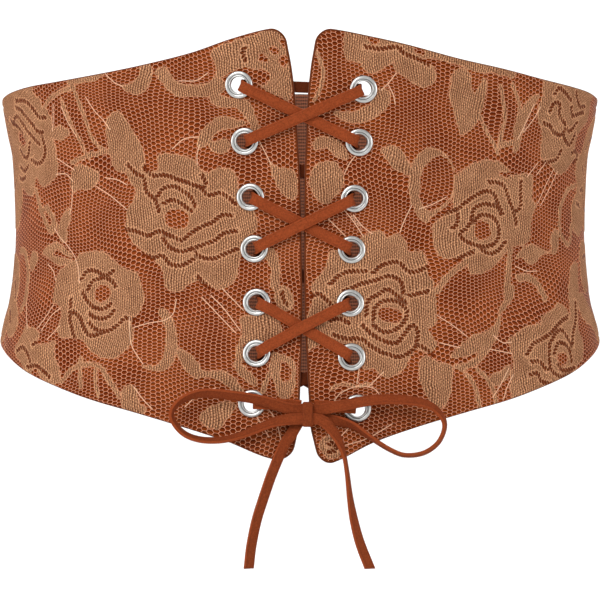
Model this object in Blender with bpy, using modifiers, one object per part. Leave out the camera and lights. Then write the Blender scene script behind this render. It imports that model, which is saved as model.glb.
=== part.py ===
"""Corset belt: two front panels laced together through eyelets, and an elastic band across the back.

Metres, +Z up. The front faces -Y, and the origin is on the waist line, at the middle of the body
that the belt is closed round. Left and right are the viewer's, from the front: left is -X.
"""
import math
from collections import namedtuple

import bmesh
import bpy
from mathutils import Matrix, Vector

OBJECT_NAME = "corset_belt"

# The body that the belt is closed round, at the waist line
WAIST_WIDTH = 0.2582
WAIST_DEPTH = 0.1818
BODY_SQUARENESS = 2.2

# How far the front reaches above and below the waist line
UPPER_HEIGHT = 0.0900
LOWER_HEIGHT = 0.1020

# Walls
PANEL_WALL = 0.0022
BAND_WALL = 0.0016
EDGE_ROUNDING = 0.0006
ROUNDING_ANGLE = 60.0
CLEARANCE = 0.0003

# Front panels
CORNER_RADIUS = 0.0065
FRONT_GAP = 0.0072
OPENING_SHIFT = 0.0012
OPENING_LEAN = 0.0018
SEAM_TURN = 98.0
SEAM_OVERLAP = 0.0100

# Eyelets, each seated on both faces of a panel
EYELET_INSET = 0.0242
EYELET_RADIUS = 0.0062
EYELET_BACK_RADIUS = 0.0056
EYELET_BORE = 0.0036
EYELET_BARREL_WALL = 0.0006
EYELET_RIM = 0.0009
EYELET_BACK_RIM = 0.0007
EYELET_SEAT = 0.0005
CUTTER_DEPTH = 0.0132

# The flat lace
LACE_WIDTH = 0.0050
LACE_THICKNESS = 0.0014
LACE_BEND = 0.0020
LACE_IN_BORE = 0.0012
LACE_LANDING = 0.0060

# The bow
KNOT_HEIGHT = 0.0814
KNOT_SHIFT = 0.0014
KNOT_WIDTH = 0.0048
KNOT_LENGTH = 0.0110
KNOT_ROUNDING = 0.0010
KNOT_ENTRY = 0.0037
KNOT_LAYERS = 3
LAYER_GAP = 0.0004

# How finely the curved surfaces are divided
PANEL_COLUMNS = 20
CORNER_STEPS = 4
BAND_COLUMNS = 22
SHELL_ROWS = 10
EYELET_SIDES = 14
HOLE_SIDES = 20
RUN_STEPS = 4
BEND_STEPS = 3
BOW_STEP = 0.0048

# Steps and rounds that find places on those surfaces
NORMAL_TURN = 0.01
NORMAL_RISE = 0.001
HALVINGS = 40
FINE_TURNS = 400
ROUTE_PARTS = 12
SETTLING_ROUNDS = 4

# Shape of the body: height as a share of UPPER_HEIGHT or, below the waist, of LOWER_HEIGHT,
# and width and depth as shares of the waist's
Section = namedtuple("Section", "height width depth")
BODY = (
    Section(-1.00, 1.076, 1.088),
    Section(-0.65, 1.061, 1.060),
    Section(-0.49, 1.054, 1.044),
    Section(-0.40, 1.040, 1.028),
    Section(-0.32, 1.023, 1.016),
    Section(-0.17, 1.007, 1.006),
    Section(0.00, 1.000, 1.000),
    Section(0.20, 1.003, 1.000),
    Section(0.40, 1.012, 1.003),
    Section(0.50, 1.027, 1.007),
    Section(0.70, 1.050, 1.013),
    Section(1.00, 1.065, 1.024),
)

# Upper and lower edges: turn in degrees from the centre front, and reach above the waist as a
# share of UPPER_HEIGHT and below it as a share of LOWER_HEIGHT
Edge = namedtuple("Edge", "turn left_top right_top left_bottom right_bottom")
EDGES = (
    Edge(0, 1.006, 1.006, 1.006, 1.030),
    Edge(8, 1.000, 1.000, 0.988, 1.010),
    Edge(18, 0.951, 0.965, 0.918, 0.924),
    Edge(28, 0.884, 0.922, 0.860, 0.860),
    Edge(40, 0.825, 0.858, 0.795, 0.795),
    Edge(50, 0.786, 0.814, 0.744, 0.744),
    Edge(60, 0.755, 0.767, 0.682, 0.682),
    Edge(68, 0.737, 0.739, 0.630, 0.630),
    Edge(76, 0.715, 0.716, 0.570, 0.570),
    Edge(83, 0.697, 0.697, 0.528, 0.528),
    Edge(90, 0.691, 0.691, 0.511, 0.511),
    Edge(100, 0.694, 0.694, 0.520, 0.520),
    Edge(120, 0.711, 0.711, 0.572, 0.572),
    Edge(150, 0.746, 0.746, 0.672, 0.672),
    Edge(180, 0.761, 0.761, 0.718, 0.718),
)

# Each panel's front edge: its distance from the middle of the opening, as a share of FRONT_GAP
Opening = namedtuple("Opening", "height half_gap")
OPENING = (
    Opening(-1.00, 0.83),
    Opening(-0.91, 0.52),
    Opening(-0.85, 0.35),
    Opening(-0.72, 0.26),
    Opening(-0.60, 0.18),
    Opening(-0.50, 0.11),
    Opening(-0.34, 0.055),
    Opening(-0.20, 0.053),
    Opening(0.00, 0.075),
    Opening(0.28, 0.13),
    Opening(0.46, 0.24),
    Opening(0.67, 0.39),
    Opening(0.81, 0.58),
    Opening(0.91, 0.80),
    Opening(1.00, 1.00),
)

# Rows of eyelets: height as a share of UPPER_HEIGHT or LOWER_HEIGHT, and the distance from the
# panel's front edge as a share of EYELET_INSET
Row = namedtuple("Row", "number left_height right_height inset")
EYELET_ROWS = (
    Row(1, 0.724, 0.702, 1.000),
    Row(2, 0.445, 0.440, 0.970),
    Row(3, 0.168, 0.161, 0.915),
    Row(4, -0.079, -0.083, 0.865),
    Row(5, -0.314, -0.318, 0.835),
    Row(6, -0.537, -0.553, 0.820),
    Row(7, -0.754, -0.775, 0.870),
)

# Routes of the bow, in metres from the middle of the knot: sideways, out from the panels and up,
# then the turn of the lace's flat side away from the viewer, in degrees
BOW_LOOP_LEFT = (
    (-0.0029, 0.0028, 0.0022, 0),
    (-0.0085, 0.0032, 0.0026, 0),
    (-0.0201, 0.0046, 0.0062, 4),
    (-0.0334, 0.0044, 0.0084, 12),
    (-0.0470, 0.0034, 0.0093, 28),
    (-0.0559, 0.0024, 0.0062, 58),
    (-0.0603, 0.0017, 0.0009, 76),
    (-0.0588, 0.0014, -0.0044, 70),
    (-0.0541, 0.0016, -0.0090, 60),
    (-0.0470, 0.0024, -0.0113, 48),
    (-0.0382, 0.0034, -0.0113, 34),
    (-0.0289, 0.0042, -0.0090, 20),
    (-0.0157, 0.0048, -0.0037, 6),
    (-0.0085, 0.0047, -0.0022, 0),
    (-0.0029, 0.0046, -0.0019, 0),
)
BOW_LOOP_RIGHT = (
    (0.0029, 0.0028, 0.0022, 0),
    (0.0085, 0.0033, 0.0026, 0),
    (0.0250, 0.0046, 0.0058, 4),
    (0.0342, 0.0042, 0.0067, 12),
    (0.0448, 0.0036, 0.0062, 25),
    (0.0541, 0.0028, 0.0040, 45),
    (0.0594, 0.0020, -0.0008, 65),
    (0.0607, 0.0016, -0.0061, 75),
    (0.0577, 0.0018, -0.0128, 68),
    (0.0513, 0.0022, -0.0172, 60),
    (0.0431, 0.0030, -0.0181, 54),
    (0.0360, 0.0034, -0.0154, 50),
    (0.0276, 0.0032, -0.0101, 46),
    (0.0205, 0.0025, -0.0052, 34),
    (0.0140, 0.0017, -0.0031, 14),
    (0.0085, 0.0012, -0.0022, 0),
    (0.0029, 0.0011, -0.0020, 0),
)
LACE_END_LEFT = (
    (-0.0049, 0.0013, -0.0050, 0),
    (-0.0073, 0.0021, -0.0090, 0),
    (-0.0108, 0.0029, -0.0145, 2),
    (-0.0157, 0.0035, -0.0260, 5),
    (-0.0201, 0.0036, -0.0388, 6),
    (-0.0228, 0.0035, -0.0477, 6),
    (-0.0250, 0.0033, -0.0587, 8),
    (-0.0261, 0.0032, -0.0684, 10),
)
LACE_END_RIGHT = (
    (0.0033, 0.0046, -0.0020, 0),
    (0.0060, 0.0048, -0.0025, 0),
    (0.0092, 0.0050, -0.0050, 10),
    (0.0135, 0.0053, -0.0110, 46),
    (0.0161, 0.0052, -0.0181, 78),
    (0.0175, 0.0050, -0.0260, 68),
    (0.0188, 0.0047, -0.0371, 38),
    (0.0205, 0.0044, -0.0468, 18),
    (0.0232, 0.0041, -0.0570, 6),
    (0.0276, 0.0038, -0.0684, 0),
)

SIDES = {"left": -1, "right": 1}
PANEL_IN = BAND_WALL + CLEARANCE
BARREL_RADIUS = EYELET_BORE + EYELET_BARREL_WALL
RIM_TOP = EYELET_SEAT + EYELET_RIM
BACK_RIM_TOP = PANEL_WALL + EYELET_SEAT + EYELET_BACK_RIM

# Levels of the lace's middle over the panels' outer face, and below it behind the panels
LACE_ON_PANEL = CLEARANCE + LACE_THICKNESS / 2
LACE_ON_LACE = LACE_ON_PANEL + CLEARANCE + LACE_THICKNESS
LACE_ON_RIM = RIM_TOP + CLEARANCE + LACE_THICKNESS / 2
LACE_BEHIND_RIM = -BACK_RIM_TOP - CLEARANCE - LACE_THICKNESS / 2


def read_table(rows, place, column):
    """One column's value at a place in the first column, on a smooth curve through the rows."""
    places = [row[0] for row in rows]
    values = [getattr(row, column) for row in rows]
    place = min(max(place, places[0]), places[-1])
    last = len(rows) - 1
    index = max(i for i in range(last) if places[i] <= place)

    def slope(i):
        before, after = max(i - 1, 0), min(i + 1, last)
        return (values[after] - values[before]) / (places[after] - places[before])

    step = places[index + 1] - places[index]
    share = (place - places[index]) / step
    rest = 1 - share
    return (
        values[index] * (1 + 2 * share) * rest ** 2
        + values[index + 1] * (3 - 2 * share) * share ** 2
        + slope(index) * step * share * rest ** 2
        - slope(index + 1) * step * rest * share ** 2
    )


def height_at(share):
    """Height of a share of the reach above the waist or, when it is negative, below it."""
    return share * (UPPER_HEIGHT if share > 0 else LOWER_HEIGHT)


def share_at(height):
    """The share that height_at turns into this height."""
    return height / (UPPER_HEIGHT if height > 0 else LOWER_HEIGHT)


def body_point(turn, height, out):
    """Point at a turn from the centre front, in radians, a height and a distance out."""
    share = share_at(height)
    width = WAIST_WIDTH / 2 * read_table(BODY, share, "width") + out
    depth = WAIST_DEPTH / 2 * read_table(BODY, share, "depth") + out
    sine, cosine = math.sin(turn), math.cos(turn)
    power = BODY_SQUARENESS
    reach = ((abs(sine) / width) ** power + (abs(cosine) / depth) ** power) ** (-1 / power)
    return Vector((reach * sine, -reach * cosine, height))


def body_normal(turn, height, out):
    """Direction straight out of the body at a place on it."""
    left, right = turn - NORMAL_TURN, turn + NORMAL_TURN
    low, high = height - NORMAL_RISE, height + NORMAL_RISE
    around = body_point(right, height, out) - body_point(left, height, out)
    upward = body_point(turn, high, out) - body_point(turn, low, out)
    return around.cross(upward).normalized()


def turn_at(sideways, height, out):
    """Turn at which the front of the body reaches a distance sideways."""
    low, high = -math.pi / 2, math.pi / 2
    for _ in range(HALVINGS):
        middle = (low + high) / 2
        if body_point(middle, height, out).x < sideways:
            low = middle
        else:
            high = middle
    return (low + high) / 2


def opening_middle(height):
    """How far right the middle of the laced opening lies."""
    return OPENING_SHIFT - OPENING_LEAN * height / (UPPER_HEIGHT + LOWER_HEIGHT)


def front_edge(side, height):
    """Where a panel's front edge lies, sideways."""
    half_gap = FRONT_GAP * read_table(OPENING, share_at(height), "half_gap")
    return opening_middle(height) + side * half_gap


def even_turns(start, end, count):
    """Turns that part the waist line between two turns into equal lengths."""
    turns = [start + (end - start) * i / FINE_TURNS for i in range(FINE_TURNS + 1)]
    points = [body_point(turn, 0, PANEL_IN) for turn in turns]
    lengths = [0.0]
    for before, after in zip(points, points[1:]):
        lengths.append(lengths[-1] + (after - before).length)
    chosen = []
    for i in range(count + 1):
        goal = lengths[-1] * i / count
        chosen.append(next(turn for turn, length in zip(turns, lengths) if length >= goal - 1e-9))
    return chosen


def overlap_turn():
    """Turn at which the band starts, under a panel's rear edge."""
    seam = math.radians(SEAM_TURN)
    return seam - SEAM_OVERLAP / body_point(seam, 0, PANEL_IN).length


def edge_heights(turn):
    """Lower and upper edge of the belt at a turn."""
    degrees = abs(math.degrees(turn))
    if degrees > 180:
        degrees = 360 - degrees
    side = "left" if turn < 0 or turn > math.pi else "right"
    bottom = -LOWER_HEIGHT * read_table(EDGES, degrees, side + "_bottom")
    return bottom, UPPER_HEIGHT * read_table(EDGES, degrees, side + "_top")


def new_material(name, colour, roughness, metallic=0.0):
    """A plain Principled material."""
    material = bpy.data.materials.new(name)
    material.use_nodes = True
    shader = material.node_tree.nodes["Principled BSDF"]
    shader.inputs["Base Color"].default_value = (*colour, 1.0)
    shader.inputs["Roughness"].default_value = roughness
    shader.inputs["Metallic"].default_value = metallic
    material.diffuse_color = (*colour, 1.0)
    return material


def new_object(name, mesh, collection, parent=None, material=None):
    """An object for a mesh, in a collection."""
    made = bpy.data.objects.new(name, mesh)
    collection.objects.link(made)
    made.parent = parent
    if material:
        mesh.materials.append(material)
    return made


def surface_mesh(name, columns, rows, place):
    """A grid of columns and rows, each of its points put where place(column, row) says."""
    grid = bmesh.new()
    bmesh.ops.create_grid(grid, x_segments=columns, y_segments=rows, size=0.5)
    for vertex in grid.verts:
        column = round((vertex.co.x + 0.5) * columns)
        row = round((vertex.co.y + 0.5) * rows)
        vertex.co = place(column, row)
    mesh = bpy.data.meshes.new(name)
    grid.to_mesh(mesh)
    grid.free()
    return mesh


def add_wall(made, thickness, offset):
    """Give an open surface its wall."""
    wall = made.modifiers.new("wall", "SOLIDIFY")
    wall.thickness = thickness
    wall.offset = offset
    wall.use_even_offset = True
    wall.use_quality_normals = True


def add_rounding(made, width, segments):
    """Round the sharp edges of a wall."""
    rounding = made.modifiers.new("rounding", "BEVEL")
    rounding.width = width
    rounding.segments = segments
    rounding.limit_method = "ANGLE"
    rounding.angle_limit = math.radians(ROUNDING_ANGLE)


def panel_columns():
    """Each column's turn past the front edge, pull to that edge and corner cut."""
    shapes = []
    for step in range(CORNER_STEPS):
        angle = math.pi / 2 * step / CORNER_STEPS
        turn = CORNER_RADIUS * (1 - math.cos(angle)) / (WAIST_DEPTH / 2)
        shapes.append((turn, 1.0, CORNER_RADIUS * (1 - math.sin(angle))))
    start = CORNER_RADIUS / (WAIST_DEPTH / 2)
    seam = math.radians(SEAM_TURN)
    for turn in even_turns(start, overlap_turn(), PANEL_COLUMNS) + [seam]:
        shapes.append((turn, (seam - turn) / (seam - start), 0.0))
    return shapes


def panel_mesh(name, side):
    """Inner face of one front panel, from its front edge to its seam."""
    shapes = panel_columns()
    columns = len(shapes) - 1

    def place(column, row):
        if side < 0:
            column = columns - column
        turn_past_edge, pull, cut = shapes[column]
        height = 0.0
        turn = turn_past_edge
        for _ in range(SETTLING_ROUNDS):
            edge = turn_at(side * front_edge(side, height), height, PANEL_IN)
            turn = turn_past_edge + edge * pull
            bottom, top = edge_heights(side * turn)
            bottom += cut
            top -= cut
            height = bottom + (top - bottom) * row / SHELL_ROWS
        return body_point(side * turn, height, PANEL_IN)

    return surface_mesh(name, columns, SHELL_ROWS, place)


def panel_face(sideways, height):
    """Point on the panels' outer face and the direction straight out of it."""
    turn = turn_at(sideways, height, PANEL_IN)
    normal = body_normal(turn, height, PANEL_IN)
    return body_point(turn, height, PANEL_IN) + normal * PANEL_WALL, normal


def eyelet_place(side, row):
    """Sideways place and height of an eyelet's middle."""
    height = height_at(row.left_height if side < 0 else row.right_height)
    return front_edge(side, height) + side * EYELET_INSET * row.inset, height


def eyelet_frame(side, row):
    """Middle of an eyelet on the panel's outer face, and its directions right, up and out."""
    middle, out = panel_face(*eyelet_place(side, row))
    right = Vector((0, 0, 1)).cross(out).normalized()
    return middle, right, out.cross(right), out


def frame_matrix(frame):
    """Placing matrix whose Z is an eyelet's axis."""
    middle, right, up, out = frame
    matrix = Matrix((right, up, out)).transposed().to_4x4()
    matrix.translation = middle
    return matrix


def eyelet_mesh():
    """Half section of an eyelet, top to bottom on its outer side, to be turned round its axis."""
    back_seat = -PANEL_WALL - EYELET_SEAT
    slope = EYELET_RIM / 2
    profile = (
        (BARREL_RADIUS + slope, RIM_TOP),
        (EYELET_RADIUS - slope, RIM_TOP - slope / 2),
        (EYELET_RADIUS, EYELET_SEAT),
        (BARREL_RADIUS, EYELET_SEAT),
        (BARREL_RADIUS, back_seat),
        (EYELET_BACK_RADIUS, back_seat),
        (EYELET_BACK_RADIUS - slope, -BACK_RIM_TOP),
        (EYELET_BORE, -BACK_RIM_TOP),
        (EYELET_BORE, RIM_TOP - slope),
    )
    section = bmesh.new()
    corners = [section.verts.new((radius, 0, height)) for radius, height in profile]
    for index, corner in enumerate(corners):
        section.edges.new((corner, corners[(index + 1) % len(corners)]))
    mesh = bpy.data.meshes.new("eyelet")
    section.to_mesh(mesh)
    section.free()
    return mesh


def turn_section(made):
    """Turn an eyelet's half section round its axis."""
    screw = made.modifiers.new("turned", "SCREW")
    screw.axis = "Z"
    screw.steps = EYELET_SIDES
    screw.render_steps = EYELET_SIDES
    screw.use_merge_vertices = True
    screw.merge_threshold = 0.00001
    screw.use_smooth_shade = True


def hole_cutter(name, frame, collection):
    """Cylinder that cuts an eyelet's hole through a panel."""
    bpy.ops.mesh.primitive_cylinder_add(
        vertices=HOLE_SIDES, radius=BARREL_RADIUS + CLEARANCE, depth=CUTTER_DEPTH
    )
    cutter = bpy.context.object
    cutter.name = name
    for holder in list(cutter.users_collection):
        holder.objects.unlink(cutter)
    collection.objects.link(cutter)
    matrix = frame_matrix(frame)
    cutter.location = matrix.translation
    cutter.rotation_euler = matrix.to_euler()
    cutter.hide_render = True
    cutter.display_type = "WIRE"


def cut_holes(made, cutters):
    """Cut every hole of the cutters' collection out of a panel."""
    holes = made.modifiers.new("eyelet holes", "BOOLEAN")
    holes.operation = "DIFFERENCE"
    holes.operand_type = "COLLECTION"
    holes.collection = cutters
    holes.solver = "EXACT"


def band_mesh():
    """Inner face of the back band, from under one panel's seam round to under the other's."""
    seam = math.radians(SEAM_TURN)
    middle = even_turns(seam, 2 * math.pi - seam, BAND_COLUMNS)
    turns = [overlap_turn()] + middle + [2 * math.pi - overlap_turn()]

    def place(column, row):
        bottom, top = edge_heights(turns[column])
        height = bottom + (top - bottom) * row / SHELL_ROWS
        return body_point(turns[column], height, 0.0)

    return surface_mesh("back_band", len(turns) - 1, SHELL_ROWS, place)


def heading(frame, goal):
    """Direction along the panel from an eyelet to a point."""
    middle, _, _, out = frame
    line = goal - middle
    return (line - out * line.dot(out)).normalized()


def bend_stations(frame, along, behind):
    """Lace from an eyelet's bore over its rim: points, first in the bore, that share a side."""
    middle, _, _, out = frame
    level = LACE_BEHIND_RIM if behind else LACE_ON_RIM
    way = -1 if behind else 1
    start = level - way * LACE_BEND
    points = []
    for step in range(BEND_STEPS + 1):
        angle = math.pi / 2 * step / BEND_STEPS
        reach = LACE_IN_BORE + LACE_BEND * (1 - math.cos(angle))
        rise = start + way * LACE_BEND * math.sin(angle)
        points.append(middle + along * reach + out * rise)
    return points


def run_levels(behind, lifted, steps):
    """Level of the lace's middle at each step of a run between two eyelets."""
    if behind:
        rim = LACE_BEHIND_RIM
        low = -PANEL_WALL - LACE_ON_PANEL
        high = -PANEL_WALL - LACE_ON_LACE
    else:
        rim, low, high = LACE_ON_RIM, LACE_ON_PANEL, LACE_ON_LACE
    if lifted:
        middle = [(low + high) / 2] + [high] * (steps - 1) + [(low + high) / 2]
    else:
        middle = [low] * (steps + 1)
    return [rim] + middle + [rim]


def run_stations(start, end, behind, lifted):
    """Lace along the panels between two places: stations of a point and the face's normal."""
    start, end = Vector(start), Vector(end)
    length = (end - start).length
    rim = EYELET_RADIUS + LACE_THICKNESS / 2
    landing = rim + LACE_LANDING
    reaches = [rim]
    for step in range(RUN_STEPS + 1):
        reaches.append(landing + (length - 2 * landing) * step / RUN_STEPS)
    reaches.append(length - rim)
    stations = []
    for reach, level in zip(reaches, run_levels(behind, lifted, RUN_STEPS)):
        sideways, height = start.lerp(end, reach / length)
        point, normal = panel_face(sideways, height)
        stations.append((point + normal * level, -normal if behind else normal))
    return stations


def with_sides(stations):
    """Turn stations of a point and a face normal into stations of a point and a side."""
    points = [point for point, normal in stations]
    sided = []
    for index, (point, normal) in enumerate(stations):
        before = points[max(index - 1, 0)]
        after = points[min(index + 1, len(points) - 1)]
        sided.append((point, (after - before).cross(normal).normalized()))
    return sided


def knot_end(side):
    """Sideways place and height at which the laced part meets the knot."""
    return knot_middle() + side * (KNOT_WIDTH / 2 + CLEARANCE), KNOT_ENTRY - KNOT_HEIGHT


def knot_middle():
    """How far right the middle of the knot lies."""
    return opening_middle(-KNOT_HEIGHT) + KNOT_SHIFT


def knot_run(side, row):
    """Lace from a lowest eyelet to the knot, its stations running to the knot."""
    start, end = Vector(eyelet_place(side, row)), Vector(knot_end(side))
    length = (end - start).length
    rim = EYELET_RADIUS + LACE_THICKNESS / 2
    landing = rim + LACE_LANDING
    stations = []
    for reach, level in (
        (rim, LACE_ON_RIM),
        (landing, LACE_ON_PANEL),
        ((landing + length) / 2, LACE_ON_PANEL),
        (length, LACE_ON_PANEL),
    ):
        sideways, height = start.lerp(end, reach / length)
        point, normal = panel_face(sideways, height)
        stations.append((point + normal * level, normal))
    return with_sides(stations)


def lacing_order():
    """The eyelets in the order in which the lace passes them, from knot to knot."""
    rows = list(EYELET_ROWS)
    down = [(-1 if row.number % 2 else 1, row) for row in reversed(rows)]
    back = [(1 if row.number % 2 else -1, row) for row in rows]
    return down + back


def lacing_stations():
    """The laced part, whole: from the knot up one half, along the bar and down the other half."""
    order = lacing_order()
    frames = [eyelet_frame(side, row) for side, row in order]
    places = [eyelet_place(side, row) for side, row in order]
    stations = [(point, -side) for point, side in reversed(knot_run(*order[0]))]
    last = len(order) - 1
    for index, frame in enumerate(frames):
        downward = index % 2 == 0
        out = frame[3]
        goals = []
        for other in (index - 1, index + 1):
            if other < 0:
                goals.append(panel_face(*knot_end(order[0][0]))[0])
            elif other > last:
                goals.append(panel_face(*knot_end(order[last][0]))[0])
            else:
                goals.append(frames[other][0])
        along_in, along_out = heading(frame, goals[0]), heading(frame, goals[1])
        spin = out if downward else -out
        arrive = bend_stations(frame, along_in, not downward)
        leave = bend_stations(frame, along_out, downward)
        stations += [(point, spin.cross(along_in)) for point in reversed(arrive)]
        middle_way = (along_in + along_out).normalized()
        stations.append(((arrive[0] + leave[0]) / 2, spin.cross(middle_way)))
        stations += [(point, spin.cross(along_out)) for point in leave]
        if index < last:
            run = run_stations(places[index], places[index + 1], downward, index > last // 2)
            stations += with_sides(run)
    return stations + knot_run(*order[last])


def ribbon(name, stations, collection, parent, material):
    """A flat lace through stations of a point and the direction across it."""

    def place(column, row):
        point, side = stations[column]
        return point + side * LACE_WIDTH * (row - 0.5)

    mesh = surface_mesh(name, len(stations) - 1, 1, place)
    made = new_object(name, mesh, collection, parent, material)
    add_wall(made, LACE_THICKNESS, 0.0)
    return made


def smooth_route(points, step):
    """Points a step apart on a smooth curve through a route's own points."""
    route = [Vector(point) for point in points]
    ends = [route[0] * 2 - route[1]] + route + [route[-1] * 2 - route[-2]]
    fine = []
    for before, start, end, after in zip(ends, ends[1:], ends[2:], ends[3:]):
        for part in range(ROUTE_PARTS):
            share = part / ROUTE_PARTS
            fine.append(0.5 * (
                2 * start
                + (end - before) * share
                + (2 * before - 5 * start + 4 * end - after) * share ** 2
                + (3 * start - before - 3 * end + after) * share ** 3
            ))
    fine.append(route[-1])
    length = sum((b.xyz - a.xyz).length for a, b in zip(fine, fine[1:]))
    count = max(2, round(length / step))
    chosen = [fine[0]]
    walked = 0.0
    for before, after in zip(fine, fine[1:]):
        walked += (after.xyz - before.xyz).length
        if walked >= length * len(chosen) / count - 1e-7:
            chosen.append(after)
    chosen[-1] = fine[-1]
    return chosen


def bow_stations(route):
    """Stations of a bow strand whose route is given from the middle of the knot."""
    seat, _ = panel_face(knot_middle(), -KNOT_HEIGHT)
    chosen = smooth_route(route, BOW_STEP)
    points = [seat + Vector((sideways, -out, rise)) for sideways, out, rise, _ in chosen]
    stations = []
    for index, point in enumerate(points):
        before = points[max(index - 1, 0)]
        after = points[min(index + 1, len(points) - 1)]
        along = (after - before).normalized()
        flat_side = along.cross(Vector((0, -1, 0))).normalized()
        edge_side = flat_side.cross(along)
        turn = math.radians(chosen[index][3])
        stations.append((point, flat_side * math.cos(turn) + edge_side * math.sin(turn)))
    return stations


def make_knot(collection, parent, material):
    """The turn of lace round the middle of the bow."""
    seat, _ = panel_face(knot_middle(), -KNOT_HEIGHT)
    depth = KNOT_LAYERS * (LACE_THICKNESS + LAYER_GAP) + LACE_THICKNESS / 2
    bpy.ops.mesh.primitive_cube_add(size=1)
    knot = bpy.context.object
    knot.name = "bow_knot"
    for holder in list(knot.users_collection):
        holder.objects.unlink(knot)
    collection.objects.link(knot)
    knot.data.transform(Matrix.Diagonal((KNOT_WIDTH, depth, KNOT_LENGTH, 1)))
    knot.location = seat - Vector((0, CLEARANCE + depth / 2, 0))
    knot.parent = parent
    knot.data.materials.append(material)
    add_rounding(knot, KNOT_ROUNDING, 2)


def main():
    for old in list(bpy.data.objects):
        bpy.data.objects.remove(old, do_unlink=True)
    parts = bpy.data.collections.new(OBJECT_NAME)
    cutters = bpy.data.collections.new("cutters")
    for collection in (parts, cutters):
        bpy.context.scene.collection.children.link(collection)
    root = bpy.data.objects.new("belt_origin", None)
    parts.objects.link(root)

    panel_cloth = new_material("panel_cloth", (0.36, 0.12, 0.05), 0.55)
    elastic = new_material("elastic", (0.13, 0.06, 0.04), 0.85)
    metal = new_material("eyelet_metal", (0.80, 0.78, 0.75), 0.25, 1.0)
    suede = new_material("suede", (0.29, 0.065, 0.025), 0.85)

    for side_name, side in SIDES.items():
        name = "panel_" + side_name
        panel = new_object(name, panel_mesh(name, side), parts, root, panel_cloth)
        add_wall(panel, PANEL_WALL, 1.0)
        add_rounding(panel, EDGE_ROUNDING, 1)
        cut_holes(panel, cutters)

    band = new_object("back_band", band_mesh(), parts, root, elastic)
    add_wall(band, BAND_WALL, 1.0)
    add_rounding(band, EDGE_ROUNDING, 1)

    section = eyelet_mesh()
    section.materials.append(metal)
    for side_name, side in SIDES.items():
        for row in EYELET_ROWS:
            frame = eyelet_frame(side, row)
            matrix = frame_matrix(frame)
            eyelet = new_object(f"eyelet_{side_name}_{row.number}", section, parts, root)
            eyelet.location = matrix.translation
            eyelet.rotation_euler = matrix.to_euler()
            turn_section(eyelet)
            hole_cutter(f"hole_{side_name}_{row.number}", frame, cutters)

    ribbon("lacing", lacing_stations(), parts, root, suede)
    make_knot(parts, root, suede)
    for name, route in (
        ("bow_loop_left", BOW_LOOP_LEFT),
        ("bow_loop_right", BOW_LOOP_RIGHT),
        ("lace_end_left", LACE_END_LEFT),
        ("lace_end_right", LACE_END_RIGHT),
    ):
        ribbon(name, bow_stations(route), parts, root, suede)


main()
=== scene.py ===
"""Looks of a laced corset belt: lace-covered front panels, an elastic back band and a suede lace.

Metres, +Z up. The front faces -Y and left is -X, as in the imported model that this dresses.
"""
import math
from collections import namedtuple

import bmesh
import bpy
import numpy as np
from bpy.props import FloatProperty, FloatVectorProperty, IntProperty, PointerProperty
from mathutils import Matrix, Vector


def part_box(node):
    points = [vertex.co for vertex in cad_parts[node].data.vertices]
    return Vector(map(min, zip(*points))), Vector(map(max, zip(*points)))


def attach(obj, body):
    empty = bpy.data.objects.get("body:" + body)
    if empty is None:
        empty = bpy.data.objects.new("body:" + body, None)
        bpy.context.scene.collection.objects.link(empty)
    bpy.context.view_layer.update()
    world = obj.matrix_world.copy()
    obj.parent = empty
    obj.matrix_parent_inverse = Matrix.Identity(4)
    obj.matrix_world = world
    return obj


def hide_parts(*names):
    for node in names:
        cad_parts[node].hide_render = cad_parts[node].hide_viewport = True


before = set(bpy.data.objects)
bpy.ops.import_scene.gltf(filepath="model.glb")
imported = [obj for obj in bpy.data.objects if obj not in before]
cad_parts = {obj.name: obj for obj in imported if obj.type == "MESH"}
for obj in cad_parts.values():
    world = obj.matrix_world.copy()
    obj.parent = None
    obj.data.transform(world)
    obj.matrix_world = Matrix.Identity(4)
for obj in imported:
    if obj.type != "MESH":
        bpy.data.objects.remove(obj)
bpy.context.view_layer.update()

bl_info = {
    "name": "Corset belt looks",
    "version": (1, 0, 0),
    "blender": (4, 5, 0),
    "location": "View3D > Sidebar > Corset belt",
    "description": "Dresses a laced corset belt in floral lace, elastic, metal and suede",
    "category": "Object",
}

SIDES = {"left": -1, "right": 1}
ROWS = range(1, 8)
MM = 0.001

# Body and walls, as in the part's source
WAIST_WIDTH = 0.2582
WAIST_DEPTH = 0.1818
BODY_SQUARENESS = 2.2
UPPER_HEIGHT = 0.0900
LOWER_HEIGHT = 0.1020
PANEL_WALL = 0.0022
BAND_WALL = 0.0016
CLEARANCE = 0.0003
CORNER_RADIUS = 0.0065
FRONT_GAP = 0.0072
OPENING_SHIFT = 0.0012
OPENING_LEAN = 0.0018
SEAM_TURN = math.radians(98.0)
SEAM_OVERLAP = 0.0100
PANEL_IN = BAND_WALL + CLEARANCE
PANEL_OUT = PANEL_IN + PANEL_WALL

Section = namedtuple("Section", "height width depth")
BODY = (
    Section(-1.00, 1.076, 1.088),
    Section(-0.65, 1.061, 1.060),
    Section(-0.49, 1.054, 1.044),
    Section(-0.40, 1.040, 1.028),
    Section(-0.32, 1.023, 1.016),
    Section(-0.17, 1.007, 1.006),
    Section(0.00, 1.000, 1.000),
    Section(0.20, 1.003, 1.000),
    Section(0.40, 1.012, 1.003),
    Section(0.50, 1.027, 1.007),
    Section(0.70, 1.050, 1.013),
    Section(1.00, 1.065, 1.024),
)

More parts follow.
